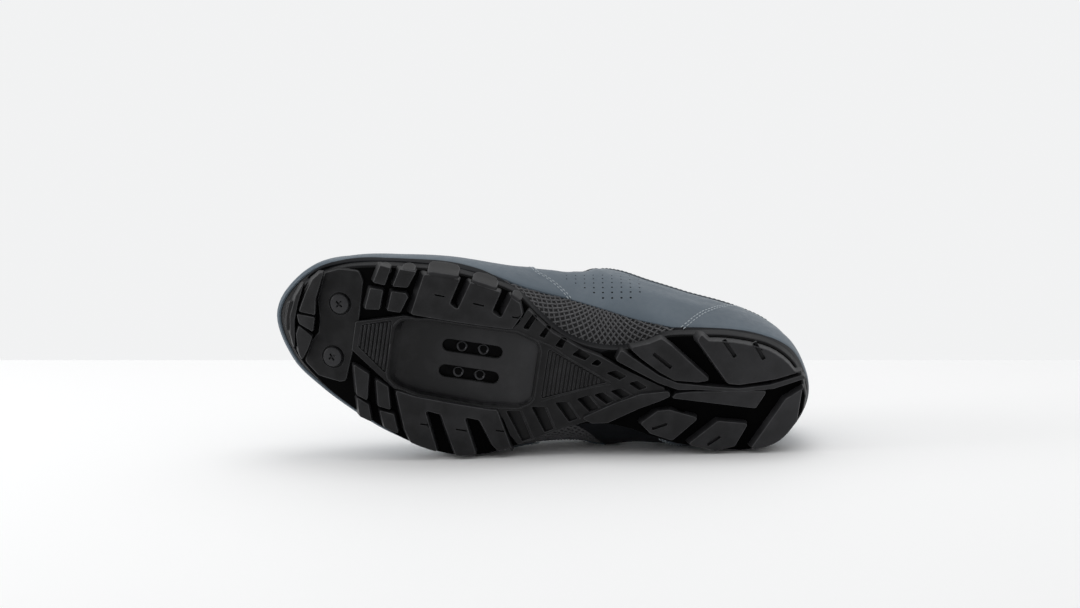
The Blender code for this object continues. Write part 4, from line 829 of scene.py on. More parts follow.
def lug(work, place, outline, height, style, holes=()):
    """Raised block: its face at depth 0, its foot at height, a number or a function of the points."""
    rounding, draft, ramp, corner, step, grid = STYLES[style]
    mould = Mould(work, place)
    ring = rounded(outline, corner, step)
    foot = height(ring) if callable(height) else height
    face = mould.wall(ring, [(ramped(ring, draft, ramp), foot)] + rim_profile(rounding), (0.0, *RIM_SHINES))
    base = mould.first
    rims = [hole_rings(mould, hole) for hole in holes]
    mould.fill(face, rims, 0.0, grid)
    mould.fill(base, [], 0.0)


# Heights in plan millimetres, smoothed along the shoe

FINE = np.arange(-20.0, 302.0, 0.5)


def smoothed(height):
    levels = height(FINE * MM)
    window = np.ones(25) / 25
    for _ in range(2):
        levels = np.convolve(np.pad(levels, 12, mode="edge"), window, mode="valid")
    return levels


TREAD_FINE, BASE_FINE, FEATHER_FINE = (smoothed(h) for h in (tread_height, base_height, feather_height))


def tread_z(x):
    return np.interp(x, FINE, TREAD_FINE)


def base_z(x):
    return np.interp(x, FINE, BASE_FINE)


def feather_z(x):
    return np.interp(x, FINE, FEATHER_FINE)


def seen_plan(points, drop=0.0):
    """Plan points, in millimetres, of marks that the photo shows on the tread, or so far above its face."""
    points = np.array(points, float)
    height = tread_z(points[:, 0]) / MM + drop
    across = (points[:, 1] - (height - VIEW_HEIGHT) * math.sin(VIEW_LEAN)) / math.cos(VIEW_LEAN)
    return np.stack([points[:, 0], across], 1)


def rim_line(side, start, end, inset, step=4.0):
    """Plan points along one side of the outline, moved inwards."""
    count = max(2, int(abs(end - start) / step) + 1)
    x = np.linspace(start, end, count) * MM
    way = outward(side, x)
    points = np.stack([x, edge(side, x)], 1) - way[:, :2] * inset * MM
    return points / MM


def tread_place(points, depth):
    return np.stack([points[:, 0] * MM, points[:, 1] * MM, tread_z(points[:, 0]) + depth * MM], 1)


def groove_depth(points):
    """Depth of the grooves under the tread's face."""
    return (base_z(points[:, 0]) - tread_z(points[:, 0])) / MM - GROOVE_FLOOR / MM


def lug_foot(points):
    """Depth of the lugs, which reach into the grooves' floor."""
    return groove_depth(points) + LUG_SINK


# Sole. Tables in millimetres: along from the heel, then across as the photo shows it.

LUG_SINK = 0.4
PLATE_SINK = 2.0
FACE_INSET = (SIDE_SLOPE + TREAD_TAPER) / MM
FOOT_LINE = SIDE_SLOPE / MM + 0.4
MIDDLE_GAP = 0.4
TOE_LUG_HEIGHT = 3.6

# Blocks in front of and beside the cleat pocket, then those of the toe
MEDIAL_BLOCKS = [
    [(235.5, 25), (233, 34.5), (227, 34), (229, 24.5)],
    [(222.5, 34), (213.5, 34), (217, 25), (225, 24.5)],
    [(236.5, 22), (229.5, 22), (230, 11.5), (238, 10.5)],
    [(225, 22), (217.5, 22), (216, 20), (219, 11.5), (226, 11.5)],
]
LATERAL_BLOCKS = [
    [(240, -19), (231, -23), (230, -37), (236, -35)],
    [(236, -36), (229, -39), (226, -48), (233, -46)],
    [(227, -25), (220, -28), (217, -40), (224, -39)],
    [(223, -41), (215, -42), (211, -52), (219, -50)],
]
TOE_LUGS = [
    [(262.5, 26.5), (264.5, 26), (268, 22), (270.5, 15), (272, 9), (273, 4), (264, 3.5), (264.8, 12)],
    [(274, 2.6), (264, 2.2), (264, -5.5), (272, -2.4)],
    [(272, -3.4), (264, -8), (265.5, -15), (268, -21.5), (270.6, -17), (273, -8)],
    [(272, 21), (276, 12), (277.6, 1), (276.4, -8), (272.4, -17.5), (274.8, -1), (274.2, 8)],
]
# Ribs across the toe's end: inset from the tip, height over the tread, half length
TOE_RIBS = [(3.0, 1.4, 8.0), (2.3, 3.4, 7.0), (1.7, 5.4, 6.0)]
TOE_CURVE = 0.012
STUD_FLAT = [
    (262, 26.5), (264, 12), (261.5, 3), (261, -5), (264, -10), (266.5, -21.5), (258, -28), (246, -29.5),
    (243, -28.5), (241.5, -12), (240.5, 4), (241, 25), (244, 30), (255, 29.5),
]
STUD_SEAT = {"depth": 0.7, "corner": 0.1, "rounding": 0.3, "draft": 0.2, "step": 3.0}
STUD_SEAT_RADIUS = 6.1
# Sipes across the lands: start, end
MEDIAL_SIPES = [((202.5, 23.5), (197, 23.2)), ((182, 22), (176, 21.5)), ((161, 18), (156, 18))]
LATERAL_SIPES = [((200.5, -45), (195, -45)), ((181.5, -45), (175.5, -45)), ((160.5, -42.5), (155.5, -42.5))]

# Heel lugs
HEEL_LUGS = [
    [(98, 11), (88, 15), (82, 18.5), (76, 15.5), (53, 0.4), (60, -1.6), (72, -2.4), (80, 0.6), (90, 5.8)],
    [(102, 9.5), (80, -1), (70, -3.5), (50, -2.5), (38, -1.5), (22, 3), (6, 10.6), (4, 9), (20, 1),
     (38, -3.5), (60, -5.5), (69, -7), (80, -5), (104, 3.5)],
    [(70, -9), (62, -6.8), (23, -0.4), (27.5, -10.6), (72, -11.8)],
    [(86, -27.5), (78, -19.5), (72, -18), (56, -20), (68, -34), (80, -32)],
    [(46, -20), (30, -19), (35, -32), (45, -36), (60, -35)],
    [(117, -29.5), (100, -18.5), (88, -12), (74, -8.4), (72.5, -11), (78, -14.5), (88, -20),
     (103, -30), (111, -31.5)],
]
# Slots of the heel lugs by their number: start, end, width
HEEL_SIPES = {
    0: ((85, 10), (74.5, 4), 2.2), 3: ((79.5, -29.5), (72, -25.5), 1.6), 4: ((49.5, -33.5), (43.5, -28), 1.6),
}
REAR_SIPES = [((50, 22.5), (42.5, 14.5), 2.2), ((34, 23.5), (27.5, 15.5), 2.2)]
HEEL_SIPE_DEPTH = 2.6

# Sunken cells of the waist
MEDIAL_CELLS = [
    [(154.5, 13), (150.5, 21), (147.8, 20.5), (151.5, 12.5)],
    [(145.5, 10.2), (142, 16.5), (139.5, 16), (142.5, 9.5)],
    [(136.5, 6.2), (133.5, 11.5), (130.5, 11), (132.5, 5.5)],
    [(127, 2.8), (123.5, 6.8), (117, 4), (119.5, 1)],
    [(116.5, -0.6), (113.4, 2.6), (110.5, 1.3), (112.5, -1)],
    [(108, -4), (103, -1.7), (96.5, -3.7), (100, -6.5)],
    [(95.5, -7.5), (91, -5.4), (85, -8), (89, -10.3)],
]
LATERAL_CELLS = [
    [(157, -31.5), (149.5, -30.5), (141.5, -44), (146, -46.5)],
    [(144, -27.5), (137, -26.5), (130.5, -37.5), (135, -40)],
    [(132, -23.5), (126, -22), (118.5, -30), (123, -32.5)],
    [(121, -19.8), (115.4, -17), (108.4, -23), (113, -25.8)],
    [(112.4, -16.3), (107.9, -14.2), (101.4, -17.7), (105, -20.3)],
    [(104.2, -13), (99, -10.7), (93, -13.5), (97.5, -16.3)],
]
CELL = {"corner": 0.7, "rounding": 0.3, "draft": 0.3, "step": 1.5, "grid": 1.6}
CELL_DEPTHS = (1.2, 4.6)
# Sunken fields of the ribbed ramp and the ribbed triangle
RIB_FIELDS = [
    [(238.5, 2.2), (222.8, 7.2), (222.3, -21.5), (239, -9.4)],
    [(139.5, 4.2), (139.5, -22.6), (106, -8.6)],
]
RIB_FIELD = {"depth": 1.1, "corner": 1.0, "rounding": 0.25, "draft": 0.2}
# Ribs in each field: first rib, step to the next, count, then the field's two ends and its borders at
# the first end with their change to the second: along, along, high, low, change of high, change of low
RIB_ROWS = [
    (223.9, 2.1, 8, 222.5, 239.0, 6.3, -20.6, -4.6, 11.7),
    (138.2, -2.1, 15, 139.5, 106.0, 3.6, -22.0, -12.8, 14.0),
]
RIB_HALF = 0.55
RIB_DEPTH = 0.15
RIB_SHORTEST = 2.0
# Fine raised lines round the ribbed triangle
FRAME_LINES = [
    [(146, 8.0), (137.5, 5.6), (128, 0.9), (118, -3.0), (104.5, -8.4)],
    [(104.5, -9.4), (118, -14.2), (128, -18.6), (139, -23.8)],
]
SPINE = [
    (0.270, -0.044, -0.066), (0.355, 0.022, -0.218), (0.397, 0.062, -0.287), (0.433, 0.102, -0.380),
    (0.490, 0.165, -0.455), (0.525, 0.223, -0.505), (0.543, 0.275, -0.420), (0.557, 0.178, -0.350),
    (0.571, 0.136, -0.302), (0.709, 0.137, -0.292), (0.770, 0.130, -0.262), (0.858, 0.048, -0.104),
]


def sipe(start, end, width=0.9, depth=2.2):
    """Narrow slot between two seen points."""
    a, b = seen_plan([start, end])
    way = unit(b - a)
    side = np.array([-way[1], way[0]]) * width / 2
    corners = [a + side, b + side, b - side, a - side]
    return {"outline": corners, "depth": depth, "corner": 0.35, "rounding": 0.15, "draft": 0.05}


BEAD_HEIGHT = 0.35
BEAD_HALF = 0.32
BEAD_SINK = 0.3


def bead(work, place, line):
    """Fine raised line with a round back."""
    line = np.asarray(line, float)
    ahead = unit(np.gradient(line, axis=0))
    side = np.stack([-ahead[:, 1], ahead[:, 0]], 1) * BEAD_HALF
    outline = np.concatenate([line + side, (line - side)[::-1]])
    lug(work, place, outline, BEAD_HEIGHT + BEAD_SINK, "bead")


def spine_line(side, grow=0.0):
    """Border of the moulded middle in plan millimetres, moved outwards."""
    column = 1 if side == "medial" else 2
    sign = 1 if side == "medial" else -1
    points = []
    for row in SPINE:
        x, y = row[0] * LENGTH / MM, row[column] * BALL_WIDTH / MM + sign * grow
        bound = float(edge(side, x * MM)) / MM - sign * FACE_INSET
        points.append((x, min(y, bound) if sign > 0 else max(y, bound)))
    return np.array(points)


def tread_floor(name, node, outline):
    """Floor of the grooves of one tread, in near-black rubber that is painted shade."""
    def place(points, depth):
        return tread_place(points, depth + groove_depth(points))

    work = bmesh.new()
    lug(work, place, outline, GROOVE_FLOOR / MM, "floor")
    add_piece(name, work, GROOVE_SHADE_RUBBER, [node])


def make_forefoot_base():
    medial, lateral = spine_line("medial", MIDDLE_GAP), spine_line("lateral", MIDDLE_GAP)
    medial, lateral = medial[medial[:, 0] > 153], lateral[lateral[:, 0] > 147]
    ends = np.array([medial[-1], lateral[-1]]) + [MIDDLE_GAP, 0.0]
    tread_floor("forefoot_base", "tread_forefoot", np.concatenate([
        rim_line("medial", 152, 281.4, FOOT_LINE), rim_line("lateral", 281.4, 147, FOOT_LINE),
        lateral, ends[1:], ends[:1], medial[::-1],
    ]))


def medial_land():
    return np.concatenate([
        seen_plan([(213.5, 11.4), (209.5, 33)]), rim_line("medial", 208, 191.5, FACE_INSET),
        seen_plan([(190.5, 33), (194, 20), (189.5, 17.5), (185, 32.5)]),
        rim_line("medial", 183.5, 170, FACE_INSET),
        seen_plan([(168.5, 30), (171.5, 19), (166.5, 16.5), (162.5, 28.5)]),
        rim_line("medial", 161, 156, FACE_INSET), seen_plan([(155.5, 20), (160, 11.4), (190, 11.0)]),
    ])


def lateral_land():
    return np.concatenate([
        seen_plan([(216, -29.2), (205, -31.0), (165, -32.0), (161.5, -31.6), (150, -52.5)]),
        rim_line("lateral", 150.5, 156.5, FACE_INSET),
        seen_plan([(161, -51), (170, -38.5), (178, -38)]), rim_line("lateral", 168, 179.5, FACE_INSET),
        seen_plan([(183, -53), (190.5, -38.5), (199, -37.5)]), rim_line("lateral", 189.5, 205, FACE_INSET),
        seen_plan([(208.5, -49)]),
    ])


def toe_rib(work, inset, rise, reach):
    """Curved rib across the toe's end."""
    tip = LENGTH / MM - inset
    arc = np.array([(tip - TOE_CURVE * t * t, t) for t in np.linspace(-reach, reach, 9)])
    outline = np.concatenate([arc + [0.5, 0], arc[::-1] - [1.2, 0]])
    lug(work, lambda points, depth: tread_place(points, depth + rise), outline, 1.0, "toe_rib")


def make_forefoot_lugs():
    """Blocks of the forefoot, the toe's lugs and ribs, and the two toothed lands beside the pocket."""
    work = bmesh.new()
    for outline in MEDIAL_BLOCKS + LATERAL_BLOCKS:
        lug(work, tread_place, seen_plan(outline), lug_foot, "block")
    for outline in TOE_LUGS:
        lug(work, tread_place, seen_plan(outline), TOE_LUG_HEIGHT, "toe_lug")
    for row in TOE_RIBS:
        toe_rib(work, *row)
    lug(work, tread_place, medial_land(), lug_foot, "medial_land", [sipe(*ends) for ends in MEDIAL_SIPES])
    lug(work, tread_place, lateral_land(), lug_foot, "lateral_land", [sipe(*ends) for ends in LATERAL_SIPES])
    add_piece("forefoot_lugs", work, RUBBER, ["tread_forefoot"])


def make_stud_flat():
    """Lowered flat of the toe, with a round seat for each stud."""
    drop = STUD_FLAT_DEPTH / MM
    seats = []
    for across in STUD_ACROSS.values():
        centre = np.array([STUD_ALONG * LENGTH, across * BALL_WIDTH]) / MM
        seats.append({"outline": centre + circle(40, STUD_SEAT_RADIUS), **STUD_SEAT})
    work = bmesh.new()
    lug(work, lambda points, depth: tread_place(points, depth + drop), seen_plan(STUD_FLAT, drop),
        lambda points: lug_foot(points) - drop, "stud_flat", seats)
    add_piece("stud_flat", work, NYLON, ["tread_forefoot"])


def make_heel_base():
    medial, lateral = spine_line("medial", MIDDLE_GAP), spine_line("lateral", MIDDLE_GAP)
    medial, lateral = medial[medial[:, 0] < 118], lateral[lateral[:, 0] < 118]
    tread_floor("heel_base", "tread_heel", np.concatenate([
        rim_line("medial", 108, 0.6, FOOT_LINE), rim_line("lateral", 0.6, 118, FOOT_LINE),
        lateral[::-1], medial,
    ]))


def make_heel_lugs():
    """Lugs of the heel: those of the table, then the long one at the medial rear and the one at the end."""
    work = bmesh.new()
    for number, outline in enumerate(HEEL_LUGS):
        slots = [sipe(*HEEL_SIPES[number], HEEL_SIPE_DEPTH)] if number in HEEL_SIPES else []
        style = "heel_main" if slots else "heel_small"
        lug(work, tread_place, seen_plan(outline), lug_foot, style, slots)
    rear = np.concatenate([
        seen_plan([(63.5, 20), (62, 24)]), rim_line("medial", 58, 8, FACE_INSET),
        seen_plan([(6, 12.6), (20, 6), (38, 0.3), (44, 0)]),
    ])
    lug(work, tread_place, rear, lug_foot, "heel_rear", [sipe(*row, HEEL_SIPE_DEPTH) for row in REAR_SIPES])
    end = np.concatenate([
        seen_plan([(13, -3.4), (4.2, 4.0)]), rim_line("medial", 2.2, 1.6, FACE_INSET, 1.0)[:1],
        rim_line("lateral", 2.0, 24, FACE_INSET, 2.0), seen_plan([(26.5, -31.5)]),
    ])
    lug(work, tread_place, end, lug_foot, "heel_end")
    add_piece("heel_lugs", work, RUBBER, ["tread_heel"])


# Rounded tabs up the medial side: start, end and top, in millimetres along the shoe and over the tread
SIDE_TABS = [
    (191.5, 208.0, 14.5), (170.5, 184.0, 12.5), (156.5, 162.0, 9.0), (214.5, 221.5, 10.0),
    (227.5, 233.5, 9.0),
]
TAB_THICKNESS = 1.5
TAB_SINK = 0.8
TAB_CORNER = 1.5
# Inset of the sole's side wall from its outline: share of the way from the tread to the feather line,
# then inset
WALL_INSETS = [(-1.0, FACE_INSET), (0.0, FACE_INSET), (0.62, SIDE_SLOPE / MM), (1.0, 0.0), (2.0, -1.6)]


def side_place(points, depth):
    """Places on the sole's medial wall, under a tab's face: along, then height over the tread."""
    x, rise = points.T
    tread, feather = tread_z(x) / MM, feather_z(x) / MM
    inset = np.interp(rise / (feather - tread), *np.array(WALL_INSETS).T)
    way = outward("medial", x * MM)[:, :2]
    spot = np.stack([x, edge("medial", x * MM) / MM], 1) + way * (TAB_THICKNESS - depth - inset)[:, None]
    return np.stack([spot[:, 0], spot[:, 1], tread + rise], 1) * MM


def make_tabs():
    """Tabs of the lugs that climb the medial side of the forefoot."""
    work = bmesh.new()
    for start, end, top in SIDE_TABS:
        shoulder = top - min(4.0, (end - start) / 2 - 0.5)
        bend = shoulder + (top - shoulder) * 0.7
        outline = [
            (start, 0.4), (end, 0.4), (end, shoulder), (end - TAB_CORNER, bend), ((start + end) / 2, top),
            (start + TAB_CORNER, bend), (start, shoulder),
        ]
        lug(work, side_place, outline, TAB_THICKNESS + TAB_SINK, "tab")
    add_piece("side_tabs", work, RUBBER, ["tread_forefoot"])


CLEAT_CENTRE = np.array([CLEAT_ALONG * LENGTH, CLEAT_ACROSS * BALL_WIDTH]) / MM
# Recess for the nut plate in the top of the sole's side: half length, half width
NUT_RECESS = np.array([21.0, 15.0])
SQUARE = ((1, 1), (-1, 1), (-1, -1), (1, -1))
RECESS_FLOOR = 0.6


def make_sole_side():
    """Rand of the nylon body, from its feather line down to the tread, and its floor over the tread."""
    top = SIDE_HEIGHT / MM

    def place(points, depth):
        x = points[:, 0]
        share = depth / top
        z = base_z(x) * (1 - share) + feather_z(x) * share
        return np.stack([x * MM, points[:, 1] * MM, z], 1)

    work = bmesh.new()
    mould = Mould(work, place)
    body = np.concatenate([
        rim_line("medial", 0.4, 281.6, 0.2, 3.0), rim_line("lateral", 281.6, 0.4, 0.2, 3.0),
    ])
    profile = [(0.0, top), (-0.5, top * 0.55), (-0.9, 0.9), (-1.05, 0.35), (-1.4, 0.0), (-3.0, 0.0)]
    face = mould.wall(rounded(body, 1.0, 3.0), profile + [(-3.4, RECESS_FLOOR)])
    foot = mould.first
    recess = rounded([CLEAT_CENTRE + NUT_RECESS * corner for corner in SQUARE], 2.0, 4.0)
    bottom = mould.wall(recess, [(0.0, RECESS_FLOOR), (0.0, top)])
    mould.fill(face, [mould.first], RECESS_FLOOR, 6.0)
    mould.fill(foot, [bottom], top, 6.0)
    add_piece("sole_side", work, SIDE_NYLON, ["sole_plate"])


MIDDLE_DROP = SPINE_DROP / MM


def middle_place(points, depth):
    return tread_place(points, depth + MIDDLE_DROP)


def to_foot(points):
    """Depth of the moulded middle's hidden foot under its face."""
    return (base_z(points[:, 0]) - tread_z(points[:, 0])) / MM - MIDDLE_DROP + PLATE_SINK


def to_floor(points):
    """Depth of the cleat pocket's floor under the middle's face."""
    return (POCKET_FLOOR - tread_z(points[:, 0])) / MM - MIDDLE_DROP


def waist_cells():
    """Sunken cells of the waist, each deeper towards the toe."""
    for marks in MEDIAL_CELLS + LATERAL_CELLS:
        outline = seen_plan(marks, MIDDLE_DROP)
        span = [outline[:, 0].min(), outline[:, 0].max() - 1.0]
        yield {
            "outline": outline, "depth": lambda p, span=span: np.interp(p[:, 0], span, CELL_DEPTHS), **CELL,
        }


def slot_outline(sign):
    """One of the two long slots of the pocket."""
    centre = CLEAT_CENTRE + [0.0, sign * SLOT_SPACING / MM / 2]
    half, reach = SLOT_WIDTH / MM / 2, (SLOT_LENGTH - SLOT_WIDTH) / MM / 2
    angles = np.linspace(-math.pi / 2, math.pi / 2, 9)
    end = np.stack([reach + half * np.cos(angles), half * np.sin(angles)], 1)
    return np.concatenate([centre + end, centre - end])


def pocket_rings(mould):
    """Rim, walls and floor of the cleat pocket with its slots; gives its rim and the slots' hidden feet."""
    ring = rounded(POCKET_OUTLINE, POCKET_CORNER, 2.0)
    wall = rim_profile(0.5, -1.0)[::-1] + [(-ramped(ring, 0.5, 2.6), to_floor(ring))]
    floor = mould.wall(ring, wall)
    rim = mould.first
    faces, feet = [], []
    for sign in (1, -1):
        ring = rounded(slot_outline(sign), 0.4, 1.5)
        level = to_floor(ring)
        steps = rim_profile(0.45, -1.0)[-2::-1]
        wall = [(0.45, level)] + [(offset, level + step) for offset, step in steps]
        feet.append(mould.wall(ring, wall + [(0.0, to_foot(ring))]))
        faces.append(mould.first)
    mould.fill(floor, faces, to_floor, 4.0)
    return rim, feet


def make_sole_middle():
    """Moulded middle of the sole: cleat pocket with its slots, ribbed fields and the cells of the waist."""
    work = bmesh.new()
    mould = Mould(work, middle_place)
    ring = rounded(np.concatenate([spine_line("lateral"), spine_line("medial")[::-1]]), 1.2, 2.0)
    face = mould.wall(ring, [(0.3, to_foot(ring))] + rim_profile(0.35), (0.0, *RIM_SHINES))
    base = mould.first
    fields = [{"outline": seen_plan(marks, MIDDLE_DROP), **RIB_FIELD} for marks in RIB_FIELDS]
    rims = [hole_rings(mould, hole) for hole in [*waist_cells(), *fields]]
    pocket, feet = pocket_rings(mould)
    mould.fill(face, rims + [pocket], 0.0, 4.0)
    mould.fill(base, feet, to_foot, 8.0)
    add_piece("sole_middle", work, NYLON, ["sole_plate"])


def field_ribs(work, first, pitch, count, start, end, high, low, high_change, low_change):
    """Ribs across one sunken field, as long as the field is wide there."""
    for k in range(count):
        x = first + pitch * k
        share = (x - start) / (end - start)
        top, foot = high + high_change * share, low + low_change * share
        if top - foot < RIB_SHORTEST:
            break
        marks = [(x + RIB_HALF, top), (x - RIB_HALF, top), (x - RIB_HALF, foot), (x + RIB_HALF, foot)]
        lug(work, lambda points, depth: middle_place(points, depth + RIB_DEPTH), seen_plan(marks, MIDDLE_DROP), 1.2,
            "rib")


def make_sole_ribs():
    """Ribs of the two fields, and the fine raised lines of the middle and round the pocket."""
    work = bmesh.new()
    for row in RIB_ROWS:
        field_ribs(work, *row)
    cell_lines = [[(cell[1][0] - 1.2, cell[1][1]), (cell[2][0] - 1.2, cell[2][1])] for cell in LATERAL_CELLS]
    lines = [seen_plan(line, MIDDLE_DROP) for line in FRAME_LINES + cell_lines]
    border = rounded(POCKET_OUTLINE, POCKET_CORNER, 4.0)
    border = border + outward_ways(border) * 1.5
    start = int(np.argmax(border[:, 0] + 0.3 * border[:, 1]))
    lines.append(np.roll(border, -start, 0)[:-2])
    for line in lines:
        bead(work, lambda points, depth: middle_place(points, depth - BEAD_HEIGHT), line)
    add_piece("sole_ribs", work, NYLON, ["sole_plate"])


make_forefoot_base()
make_forefoot_lugs()
make_stud_flat()
make_heel_base()
make_heel_lugs()
make_sole_side()
make_sole_middle()
make_sole_ribs()
make_tabs()


# Upper: skins on the surface of the last. Positions are rib numbers, shares run from the sole to the rim.

# Lower edge of the grey panel on the medial side: along, then across as the photo shows it
PANEL_EDGE = [
    (0, 14), (12, 20), (20, 24.5), (30, 26.5), (40, 27), (50, 26.5), (60, 25), (73, 24.2), (80, 24.5),
    (90, 25.3), (100, 26.5), (110, 28), (120, 29.5), (130, 31), (140, 32), (153, 33), (160, 34), (170, 36.5),
    (180, 38.5), (190, 40), (200, 40.5), (220, 38.5), (240, 36.5), (255, 33), (262, 29.5), (270, 23.5),
    (276, 16), (282, 4),
]
FRONT_SEAM = [(131, 31.5), (134, 34), (140, 38), (146, 41), (151, 43)]
FRONT_SEAM_TOP = [(9.75, 0.62), (10.2, 0.72), (10.6, 0.82), (10.9, 0.90)]
REAR_SEAM = [(73, 25), (70, 28), (66, 32), (62, 35), (58, 37), (50, 40), (42, 42)]

# Soft troughs and ridges: start rib and share, end rib and share, width and depth in millimetres
CREASES = [
    (8.6, 0.60, 10.6, 0.86, 7.0, -0.55),
    (9.6, 0.52, 11.4, 0.84, 8.0, 0.35),
    (10.6, 0.50, 12.2, 0.80, 7.0, -0.45),
    (19.4, 0.84, 21.2, 0.60, 7.0, -0.55),
    (18.2, 0.82, 20.2, 0.52, 8.0, 0.35),
    (17.6, 0.80, 19.2, 0.50, 7.0, -0.45),
    (11.8, 0.93, 18.2, 0.93, 8.0, -0.50),
    (12.6, 0.80, 17.4, 0.80, 9.0, 0.30),
    (2.6, 0.55, 6.6, 0.70, 12.0, -0.50),
    (4.2, 0.40, 7.6, 0.52, 10.0, 0.40),
    (1.0, 0.60, 3.2, 0.36, 11.0, -0.35),
    (23.4, 0.70, 27.4, 0.55, 12.0, -0.50),
    (22.4, 0.52, 25.8, 0.40, 10.0, 0.40),
    (6.4, 0.70, 8.0, 0.88, 8.0, -0.35),
]
# Mean way between two ribs and mean height of the upper, in millimetres
RIB_PITCH = 21.0
RIB_HEIGHT = 72.0
CREASE_SCALE = np.array([RIB_PITCH, RIB_HEIGHT])


def crease(u, s):
    """Height of the creases over the base surface, in metres."""
    u, s = np.broadcast_arrays(np.asarray(u, float), np.asarray(s, float))
    total = np.zeros(u.shape)
    for u0, s0, u1, s1, width, depth in CREASES:
        start, run = np.array([u0, s0]) * CREASE_SCALE, np.array([u1 - u0, s1 - s0]) * CREASE_SCALE
        a, b = (u % RIB_COUNT) * RIB_PITCH - start[0], s * RIB_HEIGHT - start[1]
        t = np.clip((a * run[0] + b * run[1]) / (run @ run), 0.0, 1.0)
        gap = np.hypot(a - t * run[0], b - t * run[1])
        fade = np.sin(math.pi * np.clip(0.12 + 0.76 * t, 0, 1))
        total += depth * MM * fade * np.exp(-(gap / width * 1.6) ** 2)
    return total


def skin_point(u, s, lift):
    return on_upper(u, s, np.asarray(lift) + crease(u, s))


def grid_faces(work, rows, wrap_rows=False, wrap_columns=False, flip=False):
    """Quads over a grid of vertices."""
    count, width = len(rows), len(rows[0])
    for i in range(count if wrap_rows else count - 1):
        for k in range(width if wrap_columns else width - 1):
            j, n = (i + 1) % count, (k + 1) % width
            quad = (rows[i][k], rows[i][n], rows[j][n], rows[j][k])
            if len(set(quad)) == 4:
                work.faces.new(quad[::-1] if flip else quad)


def verts_of(work, points):
    return [[work.verts.new(p) for p in row] for row in points]


def grid_border(count, width):
    """Places round the border of a grid."""
    border = [(0, k) for k in range(width - 1)] + [(i, width - 1) for i in range(count - 1)]
    border += [(count - 1, k) for k in range(width - 1, 0, -1)]
    return border + [(i, 0) for i in range(count - 1, 0, -1)]


def tube(work, centres, sides, ups, section):
    """Closed bar through centres; its section is in millimetres along the side and up directions of each."""
    rings = [
        [work.verts.new(centre + (side * x + up * y) * MM) for x, y in section]
        for centre, side, up in zip(centres, sides, ups)
    ]
    grid_faces(work, rings, wrap_columns=True)
    work.faces.new(rings[0])
    work.faces.new(rings[-1])


def pit(work, centre, side, other, way, spots, depth):
    """Dark disc with a low wall, which reads as a hole; its dark is painted shade of the hole's inside."""
    rim = [work.verts.new(centre + side * x + other * y) for x, y in spots]
    low = [work.verts.new(vert.co - Vector(way * depth)) for vert in rim]
    work.faces.new(rim)
    work.faces.new(low[::-1])
    for i in range(len(rim)):
        work.faces.new((rim[i - 1], low[i - 1], low[i], rim[i]))


def rib_lengths(u):
    steps = np.linspace(0, 1, 25)
    points = surface(np.asarray(u)[:, None], steps[None])
    return np.linalg.norm(np.diff(points, axis=1), axis=2).sum(1) / MM


EDGE_STEPS = (0.0, 0.25, 0.6)
EDGE_LIFTS = (0.35, 0.85, 1.0)


def band(work, us, low, high, base, thick, rows=24, closed=False):
    """Closed sheet on the upper between two shares, with rounded edges."""
    us = np.asarray(us, float)
    low, high = np.broadcast_to(low, us.shape), np.broadcast_to(high, us.shape)
    steps = np.array(EDGE_STEPS)[:, None] / rib_lengths(us)
    start, end = low + steps[-1], high - steps[-1]
    inner = np.linspace(0, 1, rows)[1:-1, None]
    shares = np.concatenate([low + steps, start + (end - start) * inner, (high - steps)[::-1]])
    lifts = np.concatenate([EDGE_LIFTS, np.ones(len(inner)), EDGE_LIFTS[::-1]])[:, None] * np.ones(len(us))
    if not closed:
        lifts[:, [0, -1]] *= EDGE_LIFTS[0]
    top = verts_of(work, skin_point(us, shares, base + thick * lifts))
    bottom = verts_of(work, skin_point(us, shares, np.full(shares.shape, base)))
    grid_faces(work, top, wrap_columns=closed)
    grid_faces(work, bottom, wrap_columns=closed, flip=True)
    if not closed:
        side_walls(work, top, bottom)
        return
    for k in range(len(us)):
        work.faces.new((top[0][k - 1], bottom[0][k - 1], bottom[0][k], top[0][k]))
        work.faces.new((top[-1][k], bottom[-1][k], bottom[-1][k - 1], top[-1][k - 1]))


def side_walls(work, top, bottom, bare_column=None):
    """Walls between the borders of two grids, but none along a bare column."""
    border = grid_border(len(top), len(top[0]))
    for (i, k), (j, n) in zip(border, border[1:] + border[:1]):
        if not k == n == bare_column:
            work.faces.new((top[i][k], top[j][n], bottom[j][n], bottom[i][k]))


# Places on the medial side from marks in the photo

LOOK_U, LOOK_S = np.meshgrid(np.arange(-1.0, 15.01, 0.05), np.arange(0.0, 0.951, 0.01), indexing="ij")
LOOK_POINTS = surface(LOOK_U, LOOK_S)
LOOK_X, LOOK_Y = LOOK_POINTS[..., 0] / MM, seen_across(LOOK_POINTS)


def locate(x, y):
    """Rib position and share of a mark on the medial side."""
    best = np.argmin((LOOK_X - x) ** 2 + (LOOK_Y - y) ** 2 + 6.0 * LOOK_S)
    u, s = LOOK_U.flat[best], LOOK_S.flat[best]
    for _ in range(4):
        here = surface([u, u + 0.01, u], [s, s, s + 0.005])
        places = np.stack([here[:, 0] / MM, seen_across(here)], 1)
        slope = np.stack([(places[1] - places[0]) / 0.01, (places[2] - places[0]) / 0.005], 1)
        miss = np.array([x, y]) - places[0]
        if abs(np.linalg.det(slope)) < 20.0:
            break
        step = np.linalg.solve(slope, miss)
        step = np.clip(step, -0.1, 0.1)
        u, s = u + step[0], min(max(s + step[1], 0.0), 0.96)
    return u, s


